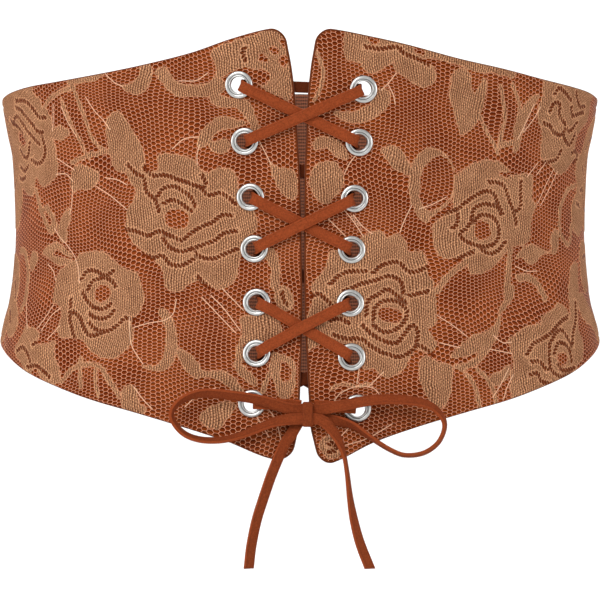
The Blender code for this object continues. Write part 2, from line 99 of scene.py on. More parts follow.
Edge = namedtuple("Edge", "turn left_top right_top left_bottom right_bottom")
EDGES = (
    Edge(0, 1.006, 1.006, 1.006, 1.030),
    Edge(8, 1.000, 1.000, 0.988, 1.010),
    Edge(18, 0.951, 0.965, 0.918, 0.924),
    Edge(28, 0.884, 0.922, 0.860, 0.860),
    Edge(40, 0.825, 0.858, 0.795, 0.795),
    Edge(50, 0.786, 0.814, 0.744, 0.744),
    Edge(60, 0.755, 0.767, 0.682, 0.682),
    Edge(68, 0.737, 0.739, 0.630, 0.630),
    Edge(76, 0.715, 0.716, 0.570, 0.570),
    Edge(83, 0.697, 0.697, 0.528, 0.528),
    Edge(90, 0.691, 0.691, 0.511, 0.511),
    Edge(100, 0.694, 0.694, 0.520, 0.520),
    Edge(120, 0.711, 0.711, 0.572, 0.572),
    Edge(150, 0.746, 0.746, 0.672, 0.672),
    Edge(180, 0.761, 0.761, 0.718, 0.718),
)

Opening = namedtuple("Opening", "height half_gap")
OPENING = (
    Opening(-1.00, 0.83),
    Opening(-0.91, 0.52),
    Opening(-0.85, 0.35),
    Opening(-0.72, 0.26),
    Opening(-0.60, 0.18),
    Opening(-0.50, 0.11),
    Opening(-0.34, 0.055),
    Opening(-0.20, 0.053),
    Opening(0.00, 0.075),
    Opening(0.28, 0.13),
    Opening(0.46, 0.24),
    Opening(0.67, 0.39),
    Opening(0.81, 0.58),
    Opening(0.91, 0.80),
    Opening(1.00, 1.00),
)

# Eyelets
EYELET_RADIUS = 0.0062
HOLE_RADIUS = 0.0045
RIM_TOP = 0.0014
BACK_RIM_TOP = 0.0034

# The flat lace, and levels of its middle over the panels' outer face
LACE_WIDTH = 0.0050
LACE_THICKNESS = 0.0014
LACE_BEND = 0.0020
LACE_IN_BORE = 0.0012
LACE_LANDING = 0.0060
LACE_ON_PANEL = CLEARANCE + LACE_THICKNESS / 2
LACE_ON_LACE = LACE_ON_PANEL + CLEARANCE + LACE_THICKNESS
LACE_ON_RIM = RIM_TOP + CLEARANCE + LACE_THICKNESS / 2
LACE_BEHIND_RIM = -BACK_RIM_TOP - CLEARANCE - LACE_THICKNESS / 2

# The bow: middle of its knot, and routes from there in metres, sideways, out and up, then the
# turn of the lace's flat side away from the viewer, in degrees
KNOT_HEIGHT = 0.0814
KNOT_SHIFT = 0.0014
KNOT_WIDTH = 0.0048
KNOT_ENTRY = 0.0037
KNOT_TUCK = 0.0022
LACING_STEP = 0.0009
BOW_STEP = 0.0011
# Painted shade on the suede: lace below the panels' outer face, the bow's strands and the knot are drawn
# darker
SHADE_IN_BORE = 0.75
SHADE_OF_BOW = 0.22
SHADE_OF_KNOT = 0.36
BOW_LOOP_LEFT = (
    (-0.0029, 0.0028, 0.0022, 0),
    (-0.0085, 0.0032, 0.0026, 8),
    (-0.0201, 0.0046, 0.0062, 32),
    (-0.0334, 0.0044, 0.0084, 38),
    (-0.0470, 0.0034, 0.0093, 46),
    (-0.0559, 0.0024, 0.0062, 64),
    (-0.0603, 0.0017, 0.0009, 76),
    (-0.0588, 0.0014, -0.0044, 74),
    (-0.0541, 0.0016, -0.0090, 72),
    (-0.0470, 0.0024, -0.0113, 70),
    (-0.0382, 0.0034, -0.0113, 68),
    (-0.0289, 0.0042, -0.0090, 62),
    (-0.0157, 0.0048, -0.0037, 44),
    (-0.0085, 0.0047, -0.0022, 14),
    (-0.0029, 0.0046, -0.0019, 0),
)
BOW_LOOP_RIGHT = (
    (0.0029, 0.0028, 0.0022, 0),
    (0.0085, 0.0033, 0.0026, 8),
    (0.0250, 0.0046, 0.0058, 32),
    (0.0342, 0.0042, 0.0067, 36),
    (0.0448, 0.0036, 0.0062, 44),
    (0.0541, 0.0028, 0.0040, 58),
    (0.0594, 0.0020, -0.0008, 70),
    (0.0607, 0.0016, -0.0061, 76),
    (0.0577, 0.0018, -0.0128, 75),
    (0.0513, 0.0022, -0.0172, 75),
    (0.0431, 0.0030, -0.0181, 76),
    (0.0360, 0.0034, -0.0154, 76),
    (0.0276, 0.0032, -0.0101, 72),
    (0.0205, 0.0025, -0.0052, 60),
    (0.0140, 0.0017, -0.0031, 32),
    (0.0085, 0.0012, -0.0022, 10),
    (0.0029, 0.0011, -0.0020, 0),
)
LACE_END_LEFT = (
    (-0.0049, 0.0013, -0.0050, 0),
    (-0.0073, 0.0021, -0.0090, 6),
    (-0.0108, 0.0029, -0.0145, 20),
    (-0.0157, 0.0035, -0.0260, 30),
    (-0.0201, 0.0036, -0.0388, 34),
    (-0.0228, 0.0035, -0.0477, 34),
    (-0.0250, 0.0033, -0.0587, 34),
    (-0.0261, 0.0032, -0.0684, 34),
)
LACE_END_RIGHT = (
    (0.0033, 0.0046, -0.0020, 0),
    (0.0060, 0.0048, -0.0025, 6),
    (0.0092, 0.0050, -0.0050, 24),
    (0.0135, 0.0053, -0.0110, 52),
    (0.0161, 0.0052, -0.0181, 78),
    (0.0175, 0.0050, -0.0260, 78),
    (0.0188, 0.0047, -0.0371, 68),
    (0.0205, 0.0044, -0.0468, 52),
    (0.0232, 0.0041, -0.0570, 40),
    (0.0276, 0.0038, -0.0684, 32),
)

# The floral lace, charted in millimetres on each panel: distance from the middle of the front
# along the waist line, then height. "woven" outlines are closed and woven solid, "gap" outlines
# open them to the net again, and a "band" is a woven strip, with its half width given first. A
# "chain" is the row of open stitches that parts petals, and a "cord" is a thin thread.
LACE_LEFT = {
    "top corner": """
    woven -39 80 -30 84 -20 87 -13 90 -7 89 -4 84 -4 60 -9 60 -14 62 -18 66 -20 71 -24 73 -30 71
      -36 68 -37 74
    gap -14 81 -11 82 -9 80 -11 78
    gap -9 77 -6 78 -5 74 -8 73
    gap -17 79 -14 77 -15 75 -18 76
    gap -9 85 -6 85 -6 82 -8 82
    gap -21 71 -16 72 -13 69 -15 65 -19 66
    chain -24 82 -25 79 -24 76
    """,
    "leaves along the top": """
    woven -64 71 -60 73 -57 70 -54 66 -46 65 -40 66 -37 69 -33 66 -34 62 -39 60 -47 60 -53 60 -57 62
      -61 66
    woven -71 75 -66 74 -66 68 -69 63 -73 61 -78 63 -80 65 -76 66 -73 68 -71 71
    cord -88 71 -84 67 -80 65
    cord -53 67 -46 67 -41 70
    woven -107 70 -98 71 -88 72 -92 68 -100 67 -107 66
    """,
    "ribbon round the eyelets": """
    woven -40 63 -36 61 -31 59 -26 59 -22 57 -20 52 -18 46 -16 42 -19 42 -22 47 -25 52 -29 55 -34 55
      -39 57
    woven -46 38 -44 44 -40 48 -35 51 -29 50 -24 48 -29 46 -35 45 -39 42 -42 38
    woven -41 39 -37 40 -33 41 -31 38 -33 35 -38 35
    cord -45 38 -46 34 -46 30
    cord -57 37 -52 41 -46 42
    cord -18 40 -16 36 -13 30
    woven -13 30 -9 28 -3 27 -1 20 -3 14 -8 17 -11 22
    woven -17 -9 -13 -8 -10 -11 -9 -20 -10 -27 -13 -24 -13 -16
    woven -26 -38 -20 -38 -12 -36 -9 -40 -8 -47 -14 -50 -20 -49 -26 -51 -25 -45
    woven -10 -25 -6 -25 -3 -30 -4 -35 -9 -34 -11 -30
    woven -25 -51 -24 -57 -27 -59 -27 -52
    chain -8 -27 -7 -31 -5 -33
    """,
    "leaves below the eyelets": """
    woven -53 -53 -48 -54 -44 -58 -41 -62 -34 -62 -29 -64 -25 -69 -23 -74 -28 -71 -33 -67 -39 -65
      -45 -65 -50 -60
    woven -28 -58 -24 -60 -19 -65 -18 -69 -22 -67 -27 -62
    band 0.8 -16 -72 -13 -64 -11 -55
    woven -12 -55 -5 -56 -2 -60 -3 -72 -8 -74 -11 -66
    gap -8 -58 -4 -60 -4 -66 -8 -66
    woven -42 -82 -37 -78 -31 -76 -27 -78 -30 -83 -34 -88 -40 -86
    cord -43 -30 -36 -37 -28 -45
    cord -39 -29 -33 -35 -26 -44
    cord -34 -26 -29 -31 -25 -35
    cord -21 -77 -17 -84 -13 -91
    cord -48 -78 -42 -72 -36 -70
    cord -14 -78 -10 -84 -8 -92
    """,
    "ring": """
    woven -63 -36 -60 -35 -57 -38 -54 -44 -53 -52 -54 -58 -58 -62 -64 -62 -68 -60 -62 -60 -59 -57
      -58 -50 -59 -43
    cord -76 -39 -75 -45 -73 -52 -68 -59
    cord -73 -43 -66 -41 -60 -40 -56 -37 -55 -31
    """,
    "rose by the eyelets": """
    woven -82 33 -80 26 -76 20 -75 16 -79 10 -80 3 -78 -3 -74 -7 -67 -12 -62 -17 -60 -25 -54 -27
      -47 -22 -41 -24 -35 -26 -29 -22 -27 -14 -25 -4 -20 0 -19 5 -22 10 -27 13 -28 22 -30 27 -36 28
      -41 26 -45 28 -48 32 -54 34 -64 34 -64 28 -71 27 -72 34
    woven -88 50 -83 54 -79 50 -74 42 -71 35 -71 29 -80 26 -86 29 -88 38 -89 44
    gap -61 8 -57 10 -52 9 -50 6 -51 2 -56 1 -61 3
    chain -79 30 -75 26 -71 24 -70 18 -66 14 -64 9
    chain -71 29 -67 25 -61 25 -55 23 -49 21 -44 19 -41 16 -36 17 -32 15 -29 12
    chain -65 15 -62 19 -57 20 -53 18 -49 15 -47 11
    chain -62 12 -58 14 -53 12 -49 9
    chain -81 1 -75 0 -69 -2 -64 0 -59 -2 -53 -4 -49 -1 -44 2 -39 4 -35 7 -30 7
    chain -62 -3 -59 -7 -54 -9 -49 -8 -43 -6 -38 -4 -34 -1 -28 0
    chain -72 -10 -66 -12 -62 -11 -58 -15 -52 -15 -47 -12
    chain -47 -10 -43 -12 -38 -12 -33 -10 -28 -8
    chain -46 -20 -43 -23 -39 -26
    chain -44 25 -42 21 -44 19
    """,
    "branch": """
    woven -110 24 -108 29 -103 30 -98 28 -94 26 -95 22 -99 19 -104 19 -109 18
    band 0.9 -109 31 -100 34 -94 35 -88 36
    band 0.8 -105 66 -102 58 -99 50 -97 43 -93 38 -89 36
    band 0.7 -112 60 -109 52 -104 42 -101 36 -99 33
    band 0.9 -126 53 -120 59 -113 63 -105 65
    woven -120 46 -114 48 -109 45 -112 42 -119 42
    cord -98 60 -94 54 -90 50 -87 46
    cord -117 57 -118 50 -119 46
    cord -112 56 -109 49 -105 43
    cord -118 33 -112 30 -108 28
    cord -119 26 -113 26 -109 23
    cord -109 20 -110 12 -111 8
    cord -95 20 -88 16 -80 10
    cord -90 24 -84 23 -80 21
    """,
    "rose at the side": """
    woven -190 20 -189 36 -184 50 -176 59 -164 64 -150 66 -140 67 -130 68 -130 63 -125 60 -124 56
      -121 55 -119 50 -119 40 -118 28 -121 24 -126 21 -131 21 -135 25 -138 17 -144 17 -150 20
      -152 14 -155 8 -159 3 -168 1 -178 3 -186 9
    gap -149 44 -146 46 -143 44 -142 40 -145 39 -148 41
    chain -157 52 -152 50 -147 48 -143 45
    chain -153 49 -150 52 -146 53 -142 50 -138 46 -134 43 -130 40
    chain -147 57 -142 56 -138 53 -133 49 -130 46 -126 45
    chain -146 60 -140 60 -135 59 -130 55 -127 52 -123 52
    chain -150 38 -147 35 -143 34 -140 37 -138 41
    chain -127 43 -126 38 -128 33 -133 31 -138 33
    chain -152 30 -147 28 -142 30
    chain -155 25 -150 24 -146 25
    gap -178 44 -174 47 -170 44 -172 40 -177 40
    chain -185 42 -180 51 -171 55 -162 51
    chain -182 42 -178 36 -171 35 -165 40 -164 46
    chain -184 26 -178 20 -170 19 -162 24
    """,
    "buds": """
    woven -137 20 -135 14 -133 9 -129 4 -125 -1 -121 0 -120 4 -123 9 -126 12 -130 11 -132 13 -134 19
    gap -129 9 -126 8 -123 4 -125 3 -128 6
    woven -119 0 -117 5 -114 9 -111 10 -111 5 -113 0 -113 -5 -117 -4
    cord -121 1 -117 -3 -113 -6 -108 -11 -105 -17 -104 -23
    woven -130 -10 -125 -6 -119 -5 -114 -8 -109 -11 -113 -11 -119 -8 -122 -11 -116 -12 -109 -13
      -112 -15 -119 -15 -125 -12
    cord -125 -15 -121 -18 -119 -22
    """,
    "ring at the side": """
    woven -140 -10 -137 -9 -134 -11 -135 -15 -138 -18 -141 -16
    band 1.5 -155 -9 -149 -9 -145 -13 -142 -20 -142 -30 -144 -36
    woven -189 -24 -184 -15 -173 -10 -159 -12 -154 -18 -152 -26 -153 -32 -148 -36 -144 -42 -146 -47
      -152 -49 -157 -46 -161 -50 -172 -52 -183 -47 -189 -37
    chain -163 -22 -158 -25 -155 -31
    chain -163 -36 -158 -38 -154 -42
    chain -184 -20 -177 -24 -170 -22 -165 -26
    chain -182 -40 -174 -35 -167 -39
    woven -188 -66 -179 -61 -170 -64 -163 -71 -166 -78 -176 -82 -188 -80
    cord -158 -50 -156 -58 -160 -66
    cord -140 -33 -137 -39 -134 -44
    """,
    "lower rose": """
    woven -119 -32 -119 -24 -117 -19 -112 -15 -107 -13 -104 -10 -96 -9 -90 -10 -86 -13 -80 -17
      -74 -19 -72 -24 -70 -30 -72 -37 -75 -40 -73 -47 -76 -53 -82 -57 -89 -56 -94 -53 -98 -49
      -104 -48 -110 -48 -113 -44 -112 -38 -116 -33
    gap -95 -26 -91 -24 -87 -26 -87 -30 -91 -32 -95 -30
    chain -103 -22 -100 -18 -95 -18 -90 -20 -86 -18
    chain -99 -27 -97 -23 -92 -21 -87 -22 -84 -25
    chain -102 -27 -99 -31 -95 -34 -90 -35 -86 -33
    chain -97 -37 -92 -39 -87 -39 -84 -36
    chain -96 -41 -92 -44 -86 -45 -81 -42 -78 -39 -73 -40
    chain -106 -36 -101 -39 -98 -44 -94 -47 -89 -46
    chain -108 -30 -107 -38 -104 -45 -102 -48
    """,
    "lower cluster": """
    woven -143 -53 -138 -48 -136 -43 -131 -44 -126 -45 -124 -48 -126 -51 -119 -51 -113 -50 -113 -56
      -110 -61 -109 -68 -115 -69 -121 -66 -125 -62 -130 -66 -136 -60 -142 -57
    chain -141 -55 -136 -53 -132 -55 -129 -59
    chain -131 -62 -125 -61 -120 -63 -115 -66
    chain -128 -52 -125 -50
    cord -126 -44 -122 -39 -119 -34
    cord -123 -45 -118 -38 -114 -35
    cord -118 -49 -112 -43
    """,
    "lower fan": """
    band 1.0 -108 -68 -102 -62 -95 -60 -88 -61 -83 -67 -78 -74
    band 0.9 -98 -57 -98 -64 -97 -70
    band 0.7 -90 -60 -90 -67 -88 -74
    woven -76 -70 -73 -69 -70 -71 -69 -76 -65 -80 -69 -82 -74 -81 -77 -76
    cord -71 -70 -67 -75 -63 -79
    """,
}
LACE_RIGHT = {
    "leaves along the top": """
    woven 20 89 28 88 30 84 34 83 36 87 44 85 52 83 58 81 66 79 66 76 58 77 50 77 46 79 52 76 58 74
      60 70 59 66 54 64 50 66 46 69 42 71 41 75 36 72 32 70 28 72 26 75 20 77
    gap 50 82 54 81 55 79 51 79
    chain 28 82 35 81 42 82 46 79 51 77 57 74
    woven 62 79 72 78 84 75 97 72 97 69 88 71 80 71 72 74 64 76
    cord 42 70 39 66 36 63
    cord 39 65 41 61 42 57
    woven 68 71 72 73 76 70 77 63 80 63 82 68 84 67 83 58 81 51 78 46 73 43 71 47 69 54 67 60 67 66
    """,
    "ribbon round the eyelets": """
    woven 34 63 38 63 40 60 39 56 35 52 30 49 24 48 18 50 15 53 22 53 28 55 32 58
    woven 6 40 11 42 17 40 21 35 21 32 16 33 12 37 7 36
    woven 7 29 12 31 16 30 19 26 19 20 15 15 11 12 7 15 4 22
    band 0.7 7 80 10 72 9 64 6 58
    cord 25 34 22 30 20 26
    cord 20 9 24 4 28 -2
    cord 24 7 28 2 32 -1
    cord 13 5 17 1 20 -2
    """,
    "leaf and ring": """
    woven 36 36 41 38 46 35 49 30 50 25 46 26 41 29 38 33
    woven 50 29 53 34 58 37 63 36 67 33 70 28 71 23 70 17 66 11 60 7 57 4 53 7 50 13 49 20
    gap 55 27 59 32 63 34 67 32 70 27 70 22 69 16 64 11 58 9 54 14 54 20
    cord 50 11 47 5 45 0
    cord 54 10 60 12 66 15
    """,
    "rose beside the eyelets": """
    woven 60 2 64 6 68 9 70 12 70 24 74 27 79 30 86 32 93 31 98 28 100 25 106 26 112 25 112 15
      115 12 112 6 111 -3 107 -6 100 -7 96 -10 92 -14 86 -18 78 -19 76 -14 72 -12 65 -12 61 -8
    gap 81 4 85 5 88 3 89 -1 86 -4 81 -3
    gap 92 26 96 27 100 26 97 24
    chain 66 8 72 10 76 13 81 16 86 18 90 17 92 13 95 8
    chain 87 22 92 22 96 20 98 15 101 9 103 3
    chain 79 6 80 10 84 12 88 12 92 11 94 8
    chain 80 4 83 7 88 7 92 4 93 -1 91 -5 86 -7 80 -6 75 -4 73 -1 76 1 79 5
    chain 69 1 72 4 72 9
    chain 83 -8 88 -10 92 -9 96 -5
    chain 70 -13 75 -11 80 -9
    chain 105 23 105 17 105 11 102 9
    """,
    "bell and stems": """
    band 1.2 61 -27 66 -21 71 -17 76 -14
    band 1.4 99 -8 98 -15 97 -22 96 -27
    woven 95 -26 99 -24 100 -28 96 -33 91 -38 90 -42 88 -46 85 -51 80 -57 75 -61 68 -60 74 -58
      78 -54 72 -56 65 -56 70 -51 76 -47 83 -45 88 -41 91 -35 94 -31
    band 1.6 103 -21 109 -21 114 -24 118 -30
    woven 102 -12 106 -8 112 -6 118 -8 125 -9 125 -4 128 1 131 0 131 -6 128 -10 120 -10 114 -14
      110 -15 106 -12
    cord 61 -38 67 -42 73 -47
    cord 61 -50 69 -52
    cord 86 -47 90 -50 94 -50
    cord 84 -53 94 -55
    cord 102 -16 108 -18 114 -18
    """,
    "lower rose": """
    woven 27 -3 31 -1 36 0 39 -3 43 -1 47 -4 49 -9 55 -9 57 -14 57 -19 60 -24 60 -40 56 -44 59 -50
      56 -54 50 -53 47 -56 45 -60 41 -64 36 -65 31 -61 27 -61 25 -54 20 -50 10 -50 3 -52 3 -40 6 -30
      5 -24 9 -20 12 -14 14 -9 20 -9
    gap 34 -36 37 -34 43 -35 45 -38 42 -41 36 -40
    chain 13 -24 17 -20 22 -18 29 -18
    chain 32 -19 37 -15 44 -14 48 -18 52 -18 57 -16
    chain 19 -27 26 -24 33 -22 40 -20 45 -23 46 -28
    chain 29 -38 30 -31 35 -28 39 -26 43 -29 47 -32
    chain 32 -40 33 -34 38 -31 44 -32 47 -36 45 -41 41 -44 36 -45 32 -42
    chain 27 -42 31 -46 36 -49 41 -50 45 -46 49 -42 51 -45 50 -51
    chain 14 -46 20 -48 26 -48 30 -51 35 -54 42 -56 47 -54 51 -51 57 -55
    chain 12 -40 17 -39 21 -41
    chain 48 -29 52 -28 57 -27
    chain 4 -30 8 -28 12 -31 15 -35
    band 0.6 13 -70 18 -68 24 -69 29 -68
    cord 24 -67 25 -61
    cord 30 -68 35 -63
    cord 14 -76 17 -72 24 -69 31 -70 34 -74
    woven 8 -94 11 -91 15 -92 18 -96 16 -100 12 -101 9 -98
    chain 11 -95 14 -94 15 -97 12 -98
    cord 16 -92 21 -86 24 -78
    cord 12 -91 11 -85 13 -78
    cord 19 -95 28 -92 38 -86
    """,
    "leaf pair and fan": """
    woven 51 -58 55 -56 60 -59 65 -60 65 -68 63 -75 60 -79 56 -77 53 -72 51 -66
    band 0.8 67 -60 72 -64 76 -71 77 -79
    band 0.8 77 -62 81 -66 84 -71 85 -77
    woven 83 -65 88 -63 93 -60 92 -65 87 -69 84 -69
    cord 92 -62 87 -70 84 -74
    cord 94 -65 91 -70 89 -75
    """,
    "lower rose at the side": """
    woven 93 -49 98 -46 104 -43 112 -42 114 -39 118 -37 122 -36 126 -33 131 -34 134 -38 136 -43
      141 -50 140 -58 134 -62 134 -70 115 -74 95 -76 93 -66 95 -60 94 -54
    gap 120 -57 123 -55 127 -56 127 -60 122 -61
    chain 102 -56 106 -51 111 -49 116 -47 121 -44 126 -41 132 -39
    chain 117 -50 121 -46 125 -45 128 -48 131 -52
    chain 118 -56 121 -51 125 -51 129 -54 130 -59
    chain 120 -60 123 -63 128 -63 132 -62
    chain 116 -50 115 -57 116 -63 122 -66 130 -65
    chain 104 -59 109 -59 113 -63
    chain 103 -65 107 -64 110 -68 115 -69
    chain 132 -52 133 -47 137 -42 140 -37 142 -32
    woven 143 -15 150 -15 149 -22 147 -30 143 -36 140 -42 137 -50 133 -50 134 -42 136 -34 137 -27
      140 -20
    woven 146 -30 152 -28 158 -32 168 -40 180 -46 180 -56 168 -52 156 -44 150 -42 145 -38
    woven 156 -6 166 -4 178 -8 186 -16 190 -27 182 -28 172 -24 163 -27 157 -28 154 -20
    chain 160 -12 168 -11 176 -15 182 -21
    """,
    "rose at the side": """
    woven 115 71 125 69 140 67 155 65 154 58 153 51 148 48 144 44 144 38 153 36 156 46 163 52 172 54
      180 50 186 42 190 30 188 14 181 5 172 0 163 3 156 -2 150 -1 145 3 144 12 148 17 150 22 147 27
      147 34 141 31 137 28 130 26 124 30 118 32 116 38 116 45 113 50 112 56 114 62
    chain 116 49 120 48 124 45 129 44 132 47 136 46 141 50
    chain 119 54 121 58 125 58 126 53 131 49
    chain 121 62 124 65 129 63 133 60
    chain 131 44 134 41 138 40 141 45
    chain 134 57 136 53 141 54 147 55
    chain 137 64 139 60 142 57 147 58
    chain 118 31 124 32 128 33 131 37
    chain 141 36 145 37 148 34 144 32
    chain 150 13 155 12
    chain 155 19 159 20
    chain 157 30 160 27
    chain 160 38 166 43 174 44 182 39
    chain 164 24 165 32 172 35 178 32 180 25
    gap 169 27 172 30 176 27 175 22 170 22
    chain 160 19 164 12 172 10 180 13 184 20
    """,
    "stems at the side": """
    band 0.8 91 65 93 57 94 50 93 43 92 37
    band 0.8 97 66 100 60 102 52 101 44 101 36
    band 0.7 81 52 85 45 89 40 92 35
    band 1.2 94 39 99 40 103 42
    woven 100 50 103 56 108 61 112 62 110 57 106 51 104 44 103 37 100 38
    cord 102 42 106 50 109 57
    cord 105 45 110 51 113 56
    cord 109 25 115 31
    cord 115 26 120 31
    cord 116 13 121 21 126 28
    cord 118 12 124 20 129 27
    band 1.1 147 21 141 20 137 17 133 11 132 4 133 -1 136 -4 140 -6 143 -3 144 3
    """,
}


def read_table(rows, places, column):
    """A column's values at places in the first column, on a smooth curve through the rows."""
    knots = np.array([row[0] for row in rows], float)
    values = np.array([getattr(row, column) for row in rows], float)
    order = np.arange(len(rows))
    before, after = np.maximum(order - 1, 0), np.minimum(order + 1, len(rows) - 1)
    slopes = (values[after] - values[before]) / (knots[after] - knots[before])
    places = np.clip(places, knots[0], knots[-1])
    index = np.clip(np.searchsorted(knots, places, "right") - 1, 0, len(rows) - 2)
    step = knots[index + 1] - knots[index]
    share = (places - knots[index]) / step
    rest = 1 - share
    return (
        values[index] * (1 + 2 * share) * rest ** 2
        + values[index + 1] * (3 - 2 * share) * share ** 2
        + slopes[index] * step * share * rest ** 2
        - slopes[index + 1] * step * rest * share ** 2
    )


def share_at(heights):
    """Heights as shares of the reach above the waist or, when negative, below it."""
    return np.where(np.asarray(heights) > 0, heights / UPPER_HEIGHT, heights / LOWER_HEIGHT)


def body_reach(turns, heights, out):
    """How far from the middle the body reaches at turns from the centre front."""
    shares = share_at(np.asarray(heights, float))
    width = WAIST_WIDTH / 2 * read_table(BODY, shares, "width") + out
    depth = WAIST_DEPTH / 2 * read_table(BODY, shares, "depth") + out
    power = BODY_SQUARENESS
    sines, cosines = np.abs(np.sin(turns)), np.abs(np.cos(turns))
    return ((sines / width) ** power + (cosines / depth) ** power) ** (-1 / power)


def body_points(turns, heights, out):
    """Points at turns from the centre front, heights and a distance out."""
    reach = body_reach(turns, heights, out)
    heights = np.broadcast_to(heights, np.shape(reach))
    return np.stack([reach * np.sin(turns), -reach * np.cos(turns), heights], -1)


def body_normals(turns, heights, out):
    """Directions straight out of the body."""
    small_turn, small_rise = 0.01, 0.001
    around = body_points(turns + small_turn, heights, out) - body_points(turns - small_turn, heights, out)
    up = body_points(turns, heights + small_rise, out) - body_points(turns, heights - small_rise, out)
    across = np.cross(around, up)
    return across / np.linalg.norm(across, axis=-1, keepdims=True)


def turns_at(sideways, heights, out):
    """Turns at which the front of the body reaches distances sideways."""
    sideways = np.asarray(sideways, float)
    low = np.full(sideways.shape, -math.pi / 2)
    high = -low
    for _ in range(30):
        middle = (low + high) / 2
        short = body_points(middle, heights, out)[..., 0] < sideways
        low, high = np.where(short, middle, low), np.where(short, high, middle)
    return (low + high) / 2


def run_lengths(points):
    """Length along a line of points up to each."""
    return np.concatenate([[0.0], np.cumsum(np.linalg.norm(np.diff(points, axis=0), axis=1))])


def unit_rows(vectors):
    """Directions of vectors, one in each row."""
    return vectors / np.linalg.norm(vectors, axis=1, keepdims=True)


def waist_lengths(start, end, count=600):
    """Turns between two turns, and the length round the panels' waist line up to each."""
    turns = np.linspace(start, end, count)
    return turns, run_lengths(body_points(turns, 0.0, PANEL_OUT))


def opening_middle(heights):
    """How far right the middle of the laced opening lies."""
    return OPENING_SHIFT - OPENING_LEAN * heights / (UPPER_HEIGHT + LOWER_HEIGHT)


def front_edge(side, heights):
    """Where a panel's front edge lies, sideways."""
    return opening_middle(heights) + side * FRONT_GAP * read_table(OPENING, share_at(heights), "half_gap")


def edge_heights(turns):
    """Lower and upper edges of the belt at turns."""
    turns = np.asarray(turns, float)
    degrees = np.abs(np.degrees(turns))
    degrees = np.where(degrees > 180, 360 - degrees, degrees)
    left = (turns < 0) | (turns > math.pi)
    bottom = np.where(left, *(read_table(EDGES, degrees, side + "_bottom") for side in SIDES))
    top = np.where(left, *(read_table(EDGES, degrees, side + "_top") for side in SIDES))
    return -LOWER_HEIGHT * bottom, UPPER_HEIGHT * top


def smooth_steps(low, high, values):
    """0 below low, 1 above high, and a smooth rise between."""
    share = np.clip((values - low) / (high - low), 0, 1)
    return share * share * (3 - 2 * share)


def panel_face(sideways, heights):
    """Points on the panels' outer face, and the directions straight out of it."""
    turns = turns_at(sideways, heights, PANEL_IN)
    normals = body_normals(turns, heights, PANEL_IN)
    return body_points(turns, heights, PANEL_IN) + normals * PANEL_WALL, normals


def smooth_curve(points, parts, closed=False):
    """Points of a smooth curve through given ones, several to a span."""
    points = np.asarray(points, float)
    if closed:
        ends = np.concatenate([points[-1:], points, points[:2]])
    else:
        ends = np.concatenate([points[:1] * 2 - points[1:2], points, points[-1:] * 2 - points[-2:-1]])
    before, start, end, after = ends[:-3], ends[1:-2], ends[2:-1], ends[3:]
    fine = []
    for part in range(parts):
        share = part / parts
        fine.append(0.5 * (
            2 * start
            + (end - before) * share
            + (2 * before - 5 * start + 4 * end - after) * share ** 2
            + (3 * start - before - 3 * end + after) * share ** 3
        ))
    fine = np.stack(fine, 1).reshape(-1, points.shape[1])
    return fine if closed else np.concatenate([fine, points[-1:]])


def line_offsets(places, line):
    """Distance, side and run of the nearest place on a line of points."""
    starts, steps = line[:-1], np.diff(line, axis=0)
    lengths = np.linalg.norm(steps, axis=1)
    keep = lengths > 1e-9
    starts, steps, lengths = starts[keep], steps[keep], lengths[keep]
    runs = np.concatenate([[0.0], np.cumsum(lengths)[:-1]])
    offsets = places[:, None] - starts[None]
    shares = np.clip((offsets * steps).sum(-1) / lengths ** 2, 0, 1)
    gaps = np.linalg.norm(offsets - shares[..., None] * steps, axis=-1)
    nearest = gaps.argmin(1)
    rows = np.arange(len(places))
    crossing = steps[nearest, 0] * offsets[rows, nearest, 1] - steps[nearest, 1] * offsets[rows, nearest, 0]
    run = runs[nearest] + shares[rows, nearest] * lengths[nearest]
    return gaps[rows, nearest], crossing / lengths[nearest], run


def inside_outline(places, outline):
    """Which places lie inside a closed outline."""
    starts, ends = outline, np.roll(outline, -1, axis=0)
    x, y = places[:, None, 0], places[:, None, 1]
    straddles = (starts[:, 1] > y) != (ends[:, 1] > y)
    rise = np.where(ends[:, 1] == starts[:, 1], 1e-9, ends[:, 1] - starts[:, 1])
    reach = starts[:, 0] + (y - starts[:, 1]) * (ends[:, 0] - starts[:, 0]) / rise
    return (straddles & (x < reach)).sum(1) % 2 == 1


def nearby(places, points, margin):
    """Indices of the places within a margin of some points' box."""
    low, high = points.min(0) - margin, points.max(0) + margin
    return np.nonzero(((places > low) & (places < high)).all(1))[0]


def pattern_rows(pattern):
    """A lace pattern's rows, each a kind and its numbers, with the gaps last."""
    rows = []
    for word in " ".join(pattern.values()).split():
        if word.isalpha():
            rows.append((word, []))
        else:
            rows[-1][1].append(float(word))
    return sorted(rows, key=lambda row: row[0] == "gap")


